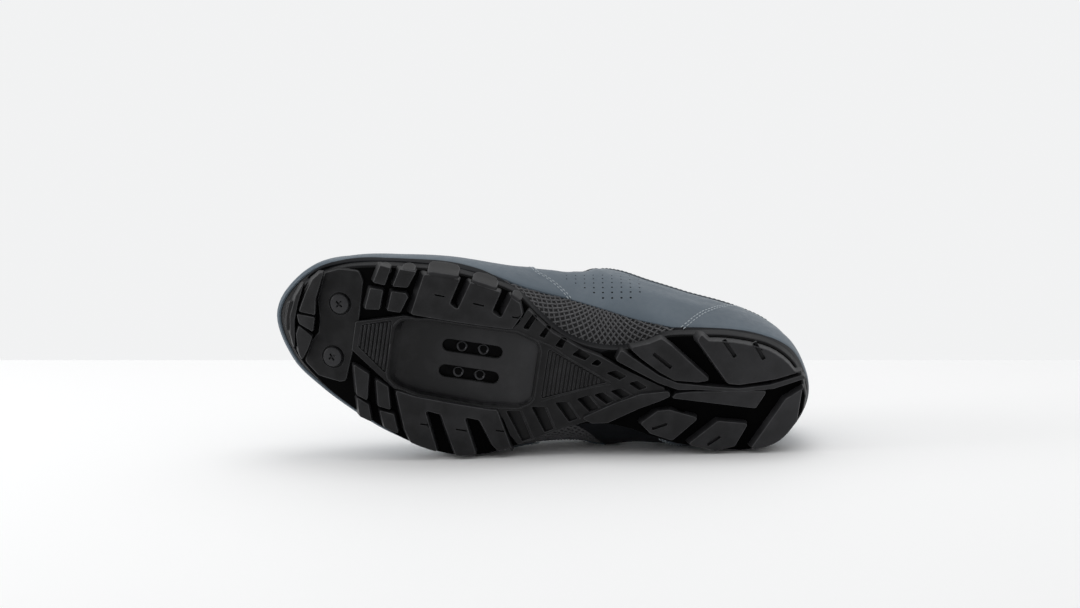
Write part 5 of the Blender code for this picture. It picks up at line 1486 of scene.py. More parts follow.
def panel_low(us):
    """Share where the grey panel begins, from the edge that the photo shows; the lateral side mirrors it."""
    edge_x = np.array([row[0] for row in PANEL_EDGE])
    edge_y = np.array([row[1] for row in PANEL_EDGE])
    shares = np.linspace(0.0, 0.6, 121)
    found = []
    for u in us:
        u = u % RIB_COUNT
        u = RIB_COUNT - u if u > RIB_COUNT / 2 else u
        points = surface(np.full(shares.shape, u), shares)
        over = seen_across(points) - np.interp(points[:, 0] / MM, edge_x, edge_y)
        hits = np.nonzero(over > 0)[0]
        found.append(shares[hits[0]] if len(hits) else 0.35)
    found = np.array(found)
    window = np.ones(5) / 5
    return np.convolve(np.pad(found, 2, mode="wrap"), window, mode="valid")


AROUND = np.arange(0, RIB_COUNT, 0.125)
TOE_RIB_NUMBER = 15.0
# Shares at which the panel begins where nothing in the photo says so: round the toe, along the lateral
# forefoot and at the heel; and how much higher it begins at the lateral waist
TOE_SHARE = 0.03
LATERAL_SHARE = 0.03
HEEL_SHARE = 0.10
WAIST_RISE = 0.16


def panel_start():
    """Share where the grey panel begins, all round."""
    low = np.clip(panel_low(AROUND), 0.03, 0.5)
    past_toe = AROUND - TOE_RIB_NUMBER
    toe = np.clip((np.abs(past_toe) - 1.0) / 1.5, 0, 1)
    low = low * toe + TOE_SHARE * (1 - toe)
    side = np.clip(past_toe / 1.5, 0, 1) * np.clip(21.5 - AROUND, 0, 1)
    low = low * (1 - side) + LATERAL_SHARE * side
    low = low + WAIST_RISE * smooth_step(AROUND, 20.8, 22.2) * (1 - smooth_step(AROUND, 26.5, 28.5))
    heel = smooth_step(np.minimum(AROUND, RIB_COUNT - AROUND), 1.6, 3.2)
    return low * heel + HEEL_SHARE * (1 - heel)


LOW = panel_start()


def low_share(u):
    """Share where the grey panel begins at rib positions."""
    return np.interp(np.asarray(u, float) % RIB_COUNT, np.append(AROUND, RIB_COUNT), np.append(LOW, LOW[0]))


UPPER_NODES = ["upper"]


def cloth_grid(points):
    """Cloth coordinates of a grid of points: millimetres across and along it."""
    points = np.asarray(points)
    run = np.concatenate([[0], np.cumsum(np.linalg.norm(np.diff(points, axis=0), axis=2).mean(1))]) / MM
    around = np.concatenate([[0], np.cumsum(np.linalg.norm(np.diff(points, axis=1), axis=2).mean(0))]) / MM
    return np.stack(np.meshgrid(around, run), -1)


def rim_frame():
    """Points of the rim all round, with the directions up the wall and out of it."""
    top = surface(AROUND, 1.0)
    return top, unit(top - surface(AROUND, 0.97)), normal(AROUND, 1.0)


def sheet(shares, lift):
    """Rows of points all round the upper, at shares and one lift."""
    return [skin_point(AROUND, np.full(AROUND.shape, s), np.full(AROUND.shape, lift)) for s in shares]


def closed_sheet(name, paint, rows):
    """Piece of the upper from rows of points that go out, over the rim and back inside."""
    points = np.array(rows)
    work = bmesh.new()
    grid_faces(work, verts_of(work, points), wrap_rows=True, wrap_columns=True)
    return add_piece(name, work, paint, UPPER_NODES, cloth=cloth_grid(points))


SHELL_THICKNESS = 0.0011
SHELL_ROLL = np.radians((30, 60, 90, 120, 150))


def make_shell():
    """Black fabric body of the upper with its rolled rim; its lining is a second sheet."""
    shares = np.concatenate([np.linspace(0, 0.92, 40), np.linspace(0.94, 1.0, 6)])
    top, lean, way = rim_frame()
    half = SHELL_THICKNESS / 2
    rolls = [top + way * half * (math.cos(a) - 1) + lean * half * math.sin(a) for a in SHELL_ROLL]
    closed_sheet("upper_shell", FABRIC, sheet(shares, 0.0) + rolls + sheet(shares[::-1], -SHELL_THICKNESS))


# The padded cuff swells inwards and shows above the panels between these ribs
CUFF_PUFF = 0.0044
CUFF_DIP = 0.045
LINING_START = -0.0013
LINING_ROLL = np.radians((20, 45, 70, 90, 110, 135, 160))
QUILT_HEIGHT = 0.0004
QUILT_WAVES = 3


def beside_heel(u):
    """How many ribs away from the heel's middle, on either side."""
    u = np.mod(u, RIB_COUNT)
    return np.minimum(u, RIB_COUNT - u)


def cuff_dip(u):
    """How much lower the panels end where the padded cuff shows above them, as a share."""
    beside = beside_heel(u)
    return CUFF_DIP * smooth_step(beside, 3.8, 5.2) * (1 - smooth_step(beside, 7.2, 8.6))


def make_lining():
    """Lining inside the shell, padded and rolled over at the collar."""
    shares = np.concatenate([np.linspace(0.03, 0.60, 16), np.linspace(0.63, 1.0, 18)])
    top, lean, way = rim_frame()
    half = (WALL + LINING_START + padding(AROUND, 1.0)) / 2
    beside = beside_heel(AROUND)
    puff = smooth_step(beside, 3.8, 5.0) * (1 - smooth_step(beside, 7.3, 8.0))
    plan = unit(spline(WAYS, AROUND, closed=True))
    rolls = []
    for a in LINING_ROLL:
        rise = half * math.sin(a) * (1.1 + 0.8 * puff) + 0.0002
        out = LINING_START + half * (math.cos(a) - 1)
        puffed = puff * CUFF_PUFF * math.sin(a) ** 2
        rolls.append(top + way * out[:, None] + lean * rise[:, None] + plan * puffed[:, None])
    inner = []
    for s in shares[::-1]:
        depth = padding(AROUND, s)
        wave = math.sin(max(0.0, (s - PADDING_START) / (1 - PADDING_START)) * math.pi * QUILT_WAVES)
        quilt = QUILT_HEIGHT * wave * depth / PADDING
        inner.append(skin_point(AROUND, np.full(AROUND.shape, s), -WALL - depth + quilt))
    piece = closed_sheet("collar_lining", LINING, sheet(shares, LINING_START) + rolls + inner)


def line_on_upper(marks, further=(), count=60):
    """Marks in the photo, then places past its outline, as a fine line of rib positions and shares."""
    spots = np.array([locate(x, y) for x, y in marks] + list(further))
    steps = np.linspace(0, len(spots) - 1, count)
    return np.stack([spline(spots[:, 0], steps), spline(spots[:, 1], steps)], 1)


STITCH_PITCH = 2.7
STITCH_LENGTH = 1.9
# One stitch: place along it, swelling, height
STITCH_SECTIONS = (
    (-0.5, 0.45, -0.25), (-0.3, 1.0, 0.0), (0.0, 1.05, 0.10), (0.3, 1.0, 0.0), (0.5, 0.45, -0.25),
)


def stitches(work, line, lift, radius=0.30, shift=0.0):
    """Row of short stitches along a line on the upper, moved sideways by a shift in millimetres."""
    u, s = line[:, 0], line[:, 1]
    points = skin_point(u, s, np.full(u.shape, lift))
    ways = normal(u, s)
    ahead = unit(np.gradient(points, axis=0))
    points = points + np.cross(ways, ahead) * shift * MM
    run = run_along(points) / MM
    for start in np.arange(0.4, run[-1] - STITCH_LENGTH, STITCH_PITCH):
        here, out, fore = (
            np.array([np.interp(start + STITCH_LENGTH / 2, run, data[:, axis]) for axis in range(3)])
            for data in (points, ways, ahead)
        )
        out, fore = unit(out), unit(fore)
        centres, swells = [], []
        for share, swell, rise in STITCH_SECTIONS:
            centres.append(here + (fore * share * STITCH_LENGTH + out * rise * radius * 2) * MM)
            swells.append(swell)
        tube(work, centres, np.outer(swells, np.cross(out, fore)), np.outer(swells, out), circle(6, radius))


# The layers of the upper's outside, each on top of the one before it
FIRST_LIFT = 0.0002
SECOND_LIFT = FIRST_LIFT + PANEL_STEP
PANEL_THICKNESS = 0.0005
BAND_THICKNESS = 0.0006
QUARTER_TOP = 0.975
PANEL_TOP = 0.965
PANEL_GAP = 0.006


def seam_panel(name, seam, end_u):
    """Second layer from a seam to the middle line, on both sides; its columns follow the seam."""
    seam = seam[np.argsort(seam[:, 1])]
    tees = np.concatenate([[0, 0.004, 0.010], np.linspace(0.02, 1, 60)])

    def across(s):
        start = np.interp(s, seam[:, 1], seam[:, 0])
        return start + (end_u - start) * tees

    us, ss = [], []
    for share in np.linspace(0, 1, 46):
        low = low_share(across(LOW.mean() + share * 0.8)) + PANEL_GAP
        ss.append(low + (PANEL_TOP - low) * share)
        us.append(across(ss[-1]))
    us, ss = np.array(us), np.array(ss)
    lifts = np.tile(np.interp(tees, tees[:3], (0.3, 0.8, 1.0)), (len(us), 1))
    lifts[[0, -1]] *= 0.3
    work = bmesh.new()
    for mirror in (False, True):
        at = RIB_COUNT - us if mirror else us
        high = verts_of(work, skin_point(at, ss, SECOND_LIFT + PANEL_THICKNESS * lifts))
        base = verts_of(work, skin_point(at, ss, np.full(at.shape, SECOND_LIFT)))
        grid_faces(work, high, flip=mirror)
        grid_faces(work, base, flip=not mirror)
        side_walls(work, high, base, bare_column=len(tees) - 1)
    add_piece(name, work, SLATE, UPPER_NODES)


def make_panels():
    """Grey synthetic over the fabric: the quarter all round, the vamp and heel panel on top."""
    work = bmesh.new()
    band(work, AROUND, LOW, QUARTER_TOP - cuff_dip(AROUND), FIRST_LIFT, PANEL_STEP, 40, closed=True)
    add_piece("quarter", work, SLATE, UPPER_NODES)
    front = line_on_upper(FRONT_SEAM, FRONT_SEAM_TOP)
    rear = line_on_upper(REAR_SEAM)
    seam_panel("vamp", front, TOE_RIB_NUMBER)
    seam_panel("heel_counter", rear, 0.0)

    work = bmesh.new()
    for line, side in ((front, 1.5), (rear, -1.5)):
        mirrored = np.stack([RIB_COUNT - line[:, 0], line[:, 1]], 1)
        for shift in (side * 0.6, side * 1.7):
            stitches(work, line, SECOND_LIFT + PANEL_THICKNESS, shift=shift)
            stitches(work, mirrored, SECOND_LIFT + PANEL_THICKNESS, shift=-shift)
    add_piece("seam_stitches", work, THREAD, UPPER_NODES, weighted=False)


# Bands along the rim, on the throat and round the collar: rib positions, low and high share, rows
THROAT_BAND = (np.arange(7.0, 23.01, 0.125), 0.90, 0.998, 8)
COLLAR_BAND = (np.concatenate([np.arange(22.9, 30, 0.125), np.arange(30, 37.11, 0.125)]), 0.955, 0.999, 6)
# Their stitched lines: first and last rib, share
EDGE_LINES = [(7.2, 22.8, 0.915), (7.2, 22.8, 0.985), (23.1, 37.0, 0.963)]
FINE_STITCH = 0.16


def make_edge():
    """Bound edge of the throat and the collar, with its fine stitches."""
    work = bmesh.new()
    for us, low, high, rows in (THROAT_BAND, COLLAR_BAND):
        dip = cuff_dip(us)
        band(work, us, low - dip, high - dip, SECOND_LIFT, BAND_THICKNESS, rows)
    add_piece("edge_band", work, SLATE_DEEP, UPPER_NODES)
    work = bmesh.new()
    for start, end, share in EDGE_LINES:
        us = np.arange(start, end, 0.02)
        stitches(work, np.stack([us, share - cuff_dip(us)], 1), SECOND_LIFT + BAND_THICKNESS, FINE_STITCH)
    add_piece("edge_stitches", work, DARK_THREAD, UPPER_NODES, weighted=False)


RAND_SPAN = (9.3, 14.1)
HEEL_RAND_SPAN = (23.2, 34.7)


def make_rand():
    """Dark rubber rands over the foot of the upper: along the medial forefoot, and round the heel."""
    start, end = RAND_SPAN
    us = np.arange(start, end + 0.01, 0.1)
    fade = np.clip(np.minimum(us - start, end - us) / 0.8, 0.0, 1.0)
    work = bmesh.new()
    high = (low_share(us) + 0.012) * (0.25 + 0.75 * fade)
    band(work, us, 0.0, high, FIRST_LIFT + PANEL_STEP * 0.5, 0.0011, 12)
    add_piece("rand", work, RAND, UPPER_NODES)
    start, end = HEEL_RAND_SPAN
    us = np.arange(start, end + 0.01, 0.1)
    work = bmesh.new()
    high = 0.01 + low_share(us) * smooth_step(us, 23.0, 24.6)
    band(work, us, 0.0, high, FIRST_LIFT + PANEL_STEP * 0.3, 0.0007, 8)
    add_piece("heel_rand", work, RAND, UPPER_NODES)


# Lattice: ribs between which it lies, way between strands and rise of one crossing, in millimetres
LATTICE_SPAN = (4.5, 9.6)
STRAND_PITCH = 4.0
STRAND_RISE = 2.9
STRAND_SECTION = ((-0.50, -0.25), (-0.40, 0.10), (0.0, 0.26), (0.40, 0.10), (0.50, -0.25))
STRAND_LIFT = 0.30
STRAND_WEAVE = 0.16
LATTICE_HEIGHT = 62.0


def strand_points(number, family):
    """Rib positions, shares and lifts along a strand, as far as it lies in its window."""
    points = []
    for t in np.arange(0.0, 42.0, 0.8):
        along = number * STRAND_PITCH + family * t * STRAND_PITCH / STRAND_RISE / 2
        u, s = LATTICE_SPAN[0] + along / RIB_PITCH, t / 2 / LATTICE_HEIGHT
        if u < LATTICE_SPAN[0] or u > LATTICE_SPAN[1] or s > float(low_share(u)) + 0.02:
            if len(points) > 2:
                break
            points = []
            continue
        weave = STRAND_WEAVE * math.cos(2 * math.pi * along / STRAND_PITCH) * family
        points.append((u, s, (STRAND_LIFT + weave) * MM))
    return np.array(points)


def make_lattice():
    """Open lattice over the fabric in the windows of the waist, on both sides."""
    work = bmesh.new()
    for mirror in (False, True):
        for family in (1, -1):
            for number in range(-30, 90):
                points = strand_points(number, family)
                if len(points) < 3:
                    continue
                u, s, lift = points.T
                u = RIB_COUNT - u if mirror else u
                centres, ways = skin_point(u, s, lift), normal(u, s)
                sides = unit(np.cross(ways, np.gradient(centres, axis=0)))
                tube(work, centres, sides, ways, STRAND_SECTION)
    add_piece("lattice", work, LATTICE, UPPER_NODES, weighted=False)


# rise: height above the lowest row; first: its first column; count: holes in it; radius
HOLE_ROWS = [
    (0.0, 0, 4, 0.62),
    (2.85, -1, 6, 0.58),
    (5.45, -2, 7, 0.52),
    (7.9, -3, 8, 0.46),
    (10.1, -4, 9, 0.42),
    (12.0, -4, 9, 0.36),
]
HOLE_PITCH = 4.9
FIRST_HOLE = (114.5, 34.4)


HOLE_LIFT = SECOND_LIFT + 0.00004
HOLE_DEPTH = 0.00006
# Marks that lie past the outline that the photo shows miss their place by more than this, and are left out
HOLE_MISS = 0.8
EYELET_HOLE = 1.95


def pinhole(work, mark, radius):
    """One pinhole on each side, at a mark in the photo."""
    u, s = locate(*mark)
    found = surface(u, s)
    if math.hypot(found[0] / MM - mark[0], float(seen_across(found)) - mark[1]) > HOLE_MISS:
        return
    for at in (u, RIB_COUNT - u):
        way = normal(at, s)
        side = unit(np.cross(way, [0, 0, 1.0]))
        spots = circle(10, radius * MM)
        pit(work, skin_point(at, s, HOLE_LIFT), side, np.cross(way, side), way, spots, HOLE_DEPTH)


def make_perforations():
    """Pinholes through the quarter, smaller towards the top, and the eyelets' dark insides; their dark discs stand
    for the black fabric beneath and painted shade in the pinholes, and painted shade in the eyelets.
    """
    work = bmesh.new()
    for rise, first, count, radius in HOLE_ROWS:
        for column in range(first, first + count):
            run = HOLE_PITCH * column
            along = FIRST_HOLE[0] - run * math.cos(VIEW_ROLL) + rise * math.sin(VIEW_ROLL)
            across = FIRST_HOLE[1] + run * math.sin(VIEW_ROLL) + rise * math.cos(VIEW_ROLL)
            pinhole(work, (along, across), radius)
    for rib in EYELET_RIBS:
        for sign in (1, -1):
            side, other, way, centre = np.array(eyelet_frame(rib, sign)).T[:, :3]
            pit(work, centre + way * 0.0006, side, other, way, circle(16, EYELET_HOLE * MM), 0.0004)
    add_piece("perforations", work, HOLE, UPPER_NODES, weighted=False)


# Tongue, insole, lace, eyelets, studs and nut plate

def frame_matrix(origin, up):
    turn = Vector(up).to_track_quat("Z", "Y").to_matrix().to_4x4()
    return Matrix.Translation(Vector(origin)) @ turn


def eyelet_frame(rib, side):
    """Frame of an eyelet: origin on the edge band, local Z outwards; side 1 is medial."""
    u = rib if side > 0 else RIB_COUNT - rib
    tenth = np.linalg.norm(surface(u, 1.0) - surface(u, 0.9))
    share = 1.0 - 0.1 * EYELET_EDGE / tenth
    way = normal(u, share)
    return frame_matrix(surface(u, share) + way * (PANEL_STEP + CUFF_STEP), way)


def lathe(work, profile, place, sides=32):
    """Solid of revolution about local Z from a closed profile of radius and height, in millimetres."""
    rings = [
        [work.verts.new(place @ Vector((x, y, height * MM))) for x, y in circle(sides, radius * MM)]
        for radius, height in profile
    ]
    grid_faces(work, rings, wrap_rows=True, wrap_columns=True)


def refine(rows, steps):
    """A grid of points on a smooth surface through a coarser one."""
    rows = np.asarray(rows, float)
    for _ in range(2):
        at = np.linspace(0, rows.shape[0] - 1, (rows.shape[0] - 1) * steps + 1)
        fine = spline(rows.reshape(rows.shape[0], -1), at).reshape(len(at), rows.shape[1], 3)
        rows = np.moveaxis(fine, 1, 0)
    return rows


def tongue_rows():
    """Top surface of the tongue, a row of points for each section."""
    depth = -(WALL + GAP * 4)
    shares = (TONGUE_REACH, (TONGUE_REACH + 1) / 2, 1.0)
    rows = []
    for rib in TONGUE_RIBS:
        partner = RIB_COUNT - rib
        medial = [on_upper(rib, s, depth - padding(rib, s)) for s in shares]
        lateral = [on_upper(partner, s, depth - padding(partner, s)) for s in shares[::-1]]
        crown = []
        for t in (0.25, 0.5, 0.75):
            point = medial[-1] * (1 - t) + lateral[0] * t
            point[2] += TONGUE_CROWN * 4 * t * (1 - t)
            crown.append(point)
        rows.append(medial + crown + lateral)
    corner = (surface(7, 1.0) + surface(RIB_COUNT - 7, 1.0)) / 2
    for back, rise, half, droop in EARS:
        row = []
        for k in range(9):
            t = 1 - k / 4
            row.append(corner + [
                -back * LENGTH, half * BALL_WIDTH * t, rise * INSTEP_HEIGHT - droop * BALL_WIDTH * t * t,
            ])
        rows.append(row)
    return rows


TONGUE_BORDER = 0.32
CHANNEL_PITCH = 17.0
CHANNEL_HEIGHT = 0.0009
BINDING_RADIUS = 1.15


def make_tongue():
    """Padded tongue: a soft sheet with sewn channels across it and a bound edge."""
    grid = refine(tongue_rows(), 6)
    ways = unit(np.cross(np.gradient(grid, axis=0), np.gradient(grid, axis=1)))
    ways *= np.where(ways[..., 2:] < 0, -1.0, 1.0)
    count, width = grid.shape[:2]
    i, k = np.meshgrid(np.arange(count), np.arange(width), indexing="ij")
    border = np.minimum.reduce([i, k, count - 1 - i, width - 1 - k])
    swell = 1 - np.clip(border / 3.0, 0, 1)
    swell = TONGUE_BORDER + (1 - TONGUE_BORDER) * np.sqrt(1 - swell ** 2)
    run = run_along(grid[:, width // 2]) / MM
    channel = np.abs(np.sin(run * math.pi / CHANNEL_PITCH))[:, None] ** 0.5
    ends = np.clip((run / run[-1] - 0.15) / 0.1, 0, 1)[:, None]
    puff = CHANNEL_HEIGHT * (channel - 0.6) * np.clip(border / 5.0, 0, 1) * ends
    top = grid + ways * (puff - TONGUE_THICKNESS * 0.25 * (1 - swell))[..., None]
    bottom = grid - ways * (TONGUE_THICKNESS * swell)[..., None]
    work = bmesh.new()
    high, low = verts_of(work, top), verts_of(work, bottom)
    grid_faces(work, high)
    grid_faces(work, low, flip=True)
    side_walls(work, high, low)
    cloth = cloth_grid(top)
    piece = add_piece("tongue_pad", work, LINING, ["tongue"], cloth=[cloth, cloth])
    make_binding((top + bottom) / 2, ways)


def make_binding(middle, ways):
    """Bound edge of the tongue: a short round bar for each step of its border."""
    work = bmesh.new()
    edges = grid_border(*middle.shape[:2])
    for a, b in zip(edges, edges[1:] + edges[:1]):
        ahead = (middle[b] - middle[a]) / max(np.linalg.norm(middle[b] - middle[a]), 1e-9)
        ups = [ways[a], ways[b]]
        sides = [unit(np.cross(ahead, up)) for up in ups]
        tube(work, [middle[a], middle[b]], sides, ups, circle(10, BINDING_RADIUS))
    add_piece("tongue_binding", work, HOLE, ["tongue"], weighted=False)


CUP_HEIGHT = 0.8
CUP_WIDTH = 14.0


def make_insole():
    """Sock liner with a rounded edge and a shallow cup."""
    work = bmesh.new()
    inset = (FOOT_INSET + WALL + 4 * GAP) / MM
    outline = np.concatenate([
        rim_line("medial", 6.5, 275.5, inset, 3.0), rim_line("lateral", 275.5, 6.5, inset, 3.0),
    ])

    def place(points, depth):
        x, y = points.T
        near = np.minimum(edge("medial", x * MM) / MM - y, y - edge("lateral", x * MM) / MM) - inset
        cup = CUP_HEIGHT * np.clip(1 - near / CUP_WIDTH, 0, 1) ** 2
        z = feather_z(x) + GAP + INSOLE_THICKNESS - 0.0006 + (cup - depth) * MM
        return np.stack([x * MM, y * MM, z], 1)

    lug(work, place, outline, INSOLE_THICKNESS / MM - 0.4, "liner")
    spots = np.array([v.co[:2] for v in work.verts]) / MM
    piece = add_piece("sock_liner", work, FOAM, ["insole"], cloth=spots)


LACE_HALF_WIDTH = 1.75
LACE_HALF_THICKNESS = 0.40
LACE_STEPS = 80
# Heights of the lace's points under and over an eyelet, and its way between two rings of its mesh
LACE_HEIGHTS = np.array([-4.5, -1.0, 0.9 * (0.55 + LACE_HALF_THICKNESS)])
LACE_PITCH = 0.75
LACE_CENTRE_DROP = 0.03
# How high the two runs of a crossing pass over the tongue
OVER, UNDER = 0.9, -0.3


def lace_points(medial_rib, lateral_rib, over):
    """Centre line of one run: out of a medial eyelet, over the tongue, into a lateral one."""
    start, end = (np.array(eyelet_frame(*at)) for at in ((medial_rib, 1), (lateral_rib, -1)))
    cover = PANEL_STEP + CUFF_STEP + (LACE_HALF_THICKNESS + 0.35) * MM
    lean = (lateral_rib - medial_rib) * LACE_LEAN
    first = on_upper(medial_rib + lean * 0.8, 1.0, cover)
    last = on_upper(RIB_COUNT - lateral_rib + lean * 0.8, 1.0, cover)
    middle = (first + last) / 2 + [0, 0, (0.5 + over) * MM]
    rise = [start[:3, 3] + start[:3, 2] * height * MM for height in LACE_HEIGHTS]
    fall = [end[:3, 3] + end[:3, 2] * height * MM for height in LACE_HEIGHTS[::-1]]
    knots = np.array([*rise, first, middle, last, *fall])
    run = run_along(knots)
    at = np.linspace(0, run[-1], LACE_STEPS)
    points = np.stack([np.interp(at, run, knots[:, axis]) for axis in range(3)])
    window = np.ones(5) / 5
    for _ in range(3):
        points = [np.convolve(np.pad(row, 2, mode="edge"), window, mode="valid") for row in points]
    return np.stack(points, 1)


def make_lace():
    """Flat woven lace through the eyelets, its crossings one over the other."""
    runs = [(EYELET_RIBS[-1], EYELET_RIBS[-1], 0.0)]
    for high, low in zip(EYELET_RIBS, EYELET_RIBS[1:]):
        runs += [(low, high, OVER), (high, low, UNDER)]
    angles = np.linspace(0, 2 * math.pi, 14, endpoint=False)
    round_x, round_y = (np.sign(c) * np.abs(c) ** 0.7 for c in (np.cos(angles), np.sin(angles)))
    section = np.stack([round_x * LACE_HALF_WIDTH, round_y * LACE_HALF_THICKNESS], 1)
    lengths = np.arange(LACE_STEPS) * LACE_PITCH
    work = bmesh.new()
    for run in runs:
        points = lace_points(*run)
        ahead = unit(np.gradient(points, axis=0))
        out = points - points.mean(0) + [0, 0, LACE_CENTRE_DROP]
        out = unit(out - ahead * (out * ahead).sum(1, keepdims=True))
        tube(work, points, np.cross(ahead, out), out, section)
    cloth = [np.stack(np.meshgrid(angles * LACE_HALF_WIDTH, lengths), -1)] * len(runs)
    add_piece("lace_cord", work, CORD, ["lace"], weighted=False, cloth=cloth)


# Section of an eyelet ring: radius, height
EYELET_PROFILE = [
    (1.9, -2.4), (2.4, -2.4), (2.5, 0.1), (3.6, 0.15), (3.65, 0.3), (3.5, 0.55), (3.1, 0.72), (2.5, 0.75),
    (2.05, 0.5), (1.9, 0.1),
]


def make_eyelets():
    work = bmesh.new()
    names = []
    for number, rib in enumerate(EYELET_RIBS, start=1):
        for side, word in ((1, "medial"), (-1, "lateral")):
            lathe(work, EYELET_PROFILE, eyelet_frame(rib, side))
            names.append(f"eyelet_{word}_{number}")
    add_piece("eyelet_rings", work, STEEL, names)


STUD_RADIUS = 5.2
STUD_HEIGHT = 1.4
STUD_SINK = 0.3
STUD_DOME = 0.28
# Cross of a stud: half length and half width of its arms, and its turn in degrees
CROSS_ARM = 2.15
CROSS_HALF = 0.48
CROSS_TURN = {"medial": 32, "lateral": 50}
CROSS = {"depth": 1.15, "corner": 0.2, "rounding": 0.12, "draft": 0.16, "step": 0.6}


def cross_outline(turn):
    """Outline of a cross, turned by an angle in degrees."""
    arm, half = CROSS_ARM, CROSS_HALF
    quarter = np.array([(arm, half), (half, half), (half, arm)])
    turns = [np.radians(turn + 90 * k) for k in range(4)]
    return np.concatenate([
        quarter @ np.array([[math.cos(a), math.sin(a)], [-math.sin(a), math.cos(a)]]) for a in turns
    ])


def stud_seat(across):
    """Frame of a stud on its flat, which follows the sole's slope."""
    x, step = STUD_ALONG * LENGTH, LENGTH * 0.01
    slope = float(tread_height(x + step) - tread_height(x - step)) / (2 * step)
    spot = (x, across * BALL_WIDTH, float(tread_height(x)) + STUD_FLAT_DEPTH)
    return Matrix.Translation(spot) @ Matrix.Rotation(-math.atan(slope), 4, "Y")


def make_studs():
    """Cross-head plugs: a low dome with a rounded edge and a cross sunk into it."""
    for word, across in STUD_ACROSS.items():
        seat = stud_seat(across)

        def place(points, depth):
            reach = np.hypot(*points.T) / STUD_RADIUS
            heights = depth - STUD_HEIGHT - STUD_SINK + STUD_DOME * reach ** 2
            return [seat @ Vector((x * MM, y * MM, z * MM)) for (x, y), z in zip(points, heights)]

        work = bmesh.new()
        cross = {"outline": cross_outline(CROSS_TURN[word]), **CROSS}
        lug(work, place, circle(64, STUD_RADIUS), 1.5, "stud", [cross])
        add_piece(f"stud_{word}", work, BLACK_STEEL, [f"toe_stud_{word}"])


NUT_HALF = np.array([20.0, 14.0])
NUT_THICKNESS = 0.002
BOSS_SPACING = 11.5
BOSS_LIFT = 0.0016
# Section of a boss up to its thread: radius, depth; then the thread's radii, its start and its pitch
BOSS_RIM = [(3.0, 0.35), (2.65, 0.0), (2.4, 0.0), (2.1, 0.25)]
THREAD_RADII = (1.85, 2.1)
THREAD_START = 0.35
THREAD_PITCH = 0.5


def boss_profile(depth):
    """Closed section of a threaded boss, from its foot over the rim and up its thread."""
    profile = [(BOSS_RIM[0][0], depth)] + BOSS_RIM
    for z in np.arange(THREAD_START, depth - 0.6, THREAD_PITCH):
        profile += [(THREAD_RADII[0], z + 0.1), (THREAD_RADII[1], z + 0.35)]
    return profile + [(THREAD_RADII[1], depth)]


def make_nut_plate():
    """Steel bar over the slots with four threaded bosses in them; the bar near black and the bosses darker than the
    steel, as painted shade of the slots.
    """
    low_feather = min(float(feather_height(share * LENGTH)) for share in (0.570, CLEAT_ALONG, 0.740))
    seat = low_feather - NUT_THICKNESS - GAP

    def place(points, depth):
        spots = (points + CLEAT_CENTRE) * MM
        return np.stack([spots[:, 0], spots[:, 1], seat + depth * MM], 1)

    work = bmesh.new()
    lug(work, place, [NUT_HALF * corner for corner in SQUARE], NUT_THICKNESS / MM, "bar")
    add_piece("nut_bar", work, NUT_BAR_SHADE, ["nut_plate"])
    work = bmesh.new()
    foot = POCKET_FLOOR + BOSS_LIFT
    profile = boss_profile((seat - foot) / MM + 0.4)
    for side in (1, -1):
        for step in (1, -1):
            x, y = (CLEAT_CENTRE + [step * BOSS_SPACING / 2, side * SLOT_SPACING / MM / 2]) * MM
            lathe(work, profile, Matrix.Translation((x, y, foot)))
    add_piece("nut_bosses", work, BOSS_STEEL_SHADED, ["nut_plate"])


make_shell()
make_lining()
make_panels()
make_edge()
make_rand()
make_lattice()
make_perforations()
make_tongue()
make_insole()
make_lace()
make_eyelets()
make_studs()
make_nut_plate()


# Camera, light and floor

FOCAL_PIXELS = 2600.0
FRAME_PIXELS = 1080.0
FRAME_ROWS = 608.0
PIXELS_PER_MM = 1.9
VIEW_CENTRE = (0.1474, 0.0276, 0.0150)
HORIZON_ROW = 360.0
SENSOR = 36.0


def make_camera():
    """Camera at the photo's angle to the sole."""
    along = Vector((1, 0, 0))
    across = Vector((0, math.cos(VIEW_LEAN), math.sin(VIEW_LEAN)))
    right = -along * math.cos(VIEW_ROLL) + across * math.sin(VIEW_ROLL)
    up = along * math.sin(VIEW_ROLL) + across * math.cos(VIEW_ROLL)
    back = right.cross(up)
    data = bpy.data.cameras.new("camera")
    data.sensor_width = SENSOR
    data.lens = FOCAL_PIXELS / FRAME_PIXELS * SENSOR
    data.clip_end = 50.0
    camera = bpy.data.objects.new("camera", data)
    bpy.context.scene.collection.objects.link(camera)
    pose = Matrix((right, up, back)).transposed().to_4x4()
    pose.translation = Vector(VIEW_CENTRE) + back * (FOCAL_PIXELS / PIXELS_PER_MM * MM)
    camera.matrix_world = PLACEMENT @ pose
    bpy.context.scene.camera = camera
    return camera


def floor_point(camera, column, row):
    """Where the ray through an image point meets the floor."""
    ray = Vector((column - FRAME_PIXELS / 2, FRAME_ROWS / 2 - row, -FOCAL_PIXELS))
    way = camera.matrix_world.to_3x3() @ ray
    start = camera.matrix_world.translation
    return start - way * (start.z / way.z)


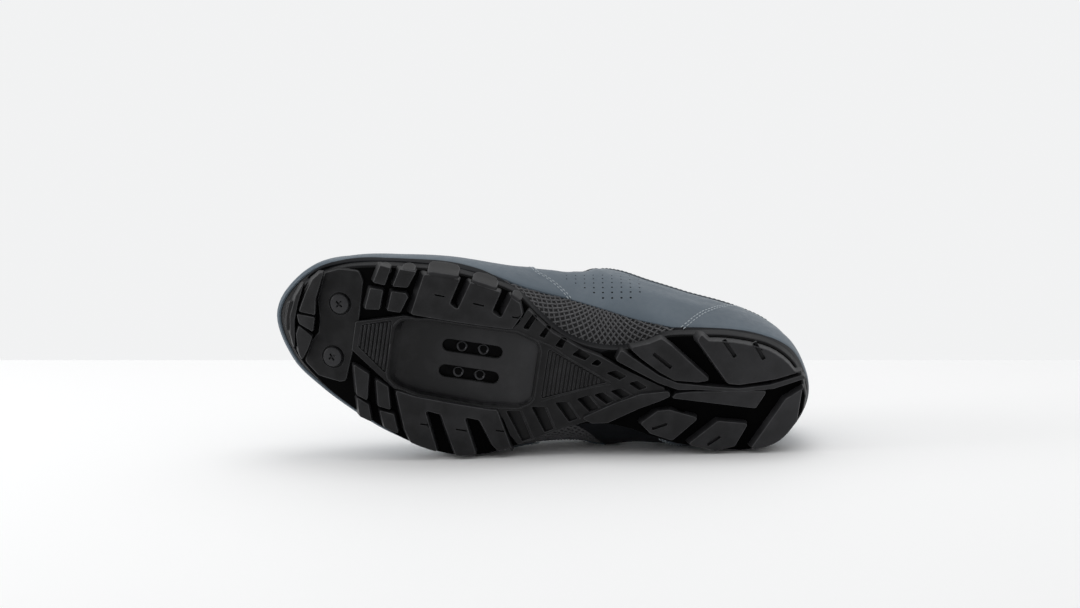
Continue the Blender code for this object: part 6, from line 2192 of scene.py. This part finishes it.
# Lamps: place, aim, size, power
LAMPS = {
    "left": ((-1.2, -0.05, 0.40), (0, 0, 0.06), (0.6, 0.5), 5.0),
    "top": ((0.15, 0.1, 1.1), (0, 0, 0.05), (0.8, 0.6), 2.8),
}


def add_lamp(name, place, aim, size, power):
    data = bpy.data.lights.new(name, "AREA")
    data.shape = "RECTANGLE"
    data.size, data.size_y = size
    data.energy = power
    lamp = bpy.data.objects.new(name, data)
    bpy.context.scene.collection.objects.link(lamp)
    lamp.location = place
    lamp.rotation_euler = (Vector(aim) - Vector(place)).to_track_quat("-Z", "Y").to_euler()


# The backdrop's light grows along this direction, between these strengths
SKY_WAY = (0.45, 1.0, 0.0)
SKY_STRENGTHS = (0.45, 0.92)


def make_sky():
    world = bpy.data.worlds.new("studio")
    bpy.context.scene.world = world
    world.use_nodes = True
    tree = world.node_tree
    background = tree.nodes["Background"]
    background.inputs["Color"].default_value = (0.96, 0.965, 0.97, 1)
    way = node(tree, "ShaderNodeTexCoord").outputs["Generated"]
    turned = node(tree, "ShaderNodeVectorMath", {0: way, 1: SKY_WAY}, operation="DOT_PRODUCT").outputs["Value"]
    tree.links.new(spread(tree, turned, *SKY_STRENGTHS, -1.0, 0.3), background.inputs["Strength"])


NEAR_FLOOR = 1.2


def make_floor(camera):
    """Pale floor that ends at the photo's horizon."""
    mesh = bpy.data.meshes.new("floor")
    table = bmesh.new()
    left, right = (floor_point(camera, widths * FRAME_PIXELS, HORIZON_ROW) for widths in (-2, 3))
    corners = [(left.x, -NEAR_FLOOR), (right.x, -NEAR_FLOOR), (right.x, right.y), (left.x, left.y)]
    table.faces.new([table.verts.new((x, y, 0)) for x, y in corners])
    table.to_mesh(mesh)
    table.free()
    floor = bpy.data.objects.new("floor", mesh)
    bpy.context.scene.collection.objects.link(floor)
    paint, _, shader = new_paint("floor_paint")
    shader.inputs["Base Color"].default_value = (0.94, 0.94, 0.94, 1)
    shader.inputs["Roughness"].default_value = 0.7
    mesh.materials.append(paint)


bpy.context.scene.view_settings.view_transform = "Standard"
make_sky()
for lamp_name, lamp in LAMPS.items():
    add_lamp(lamp_name, *lamp)
make_floor(make_camera())
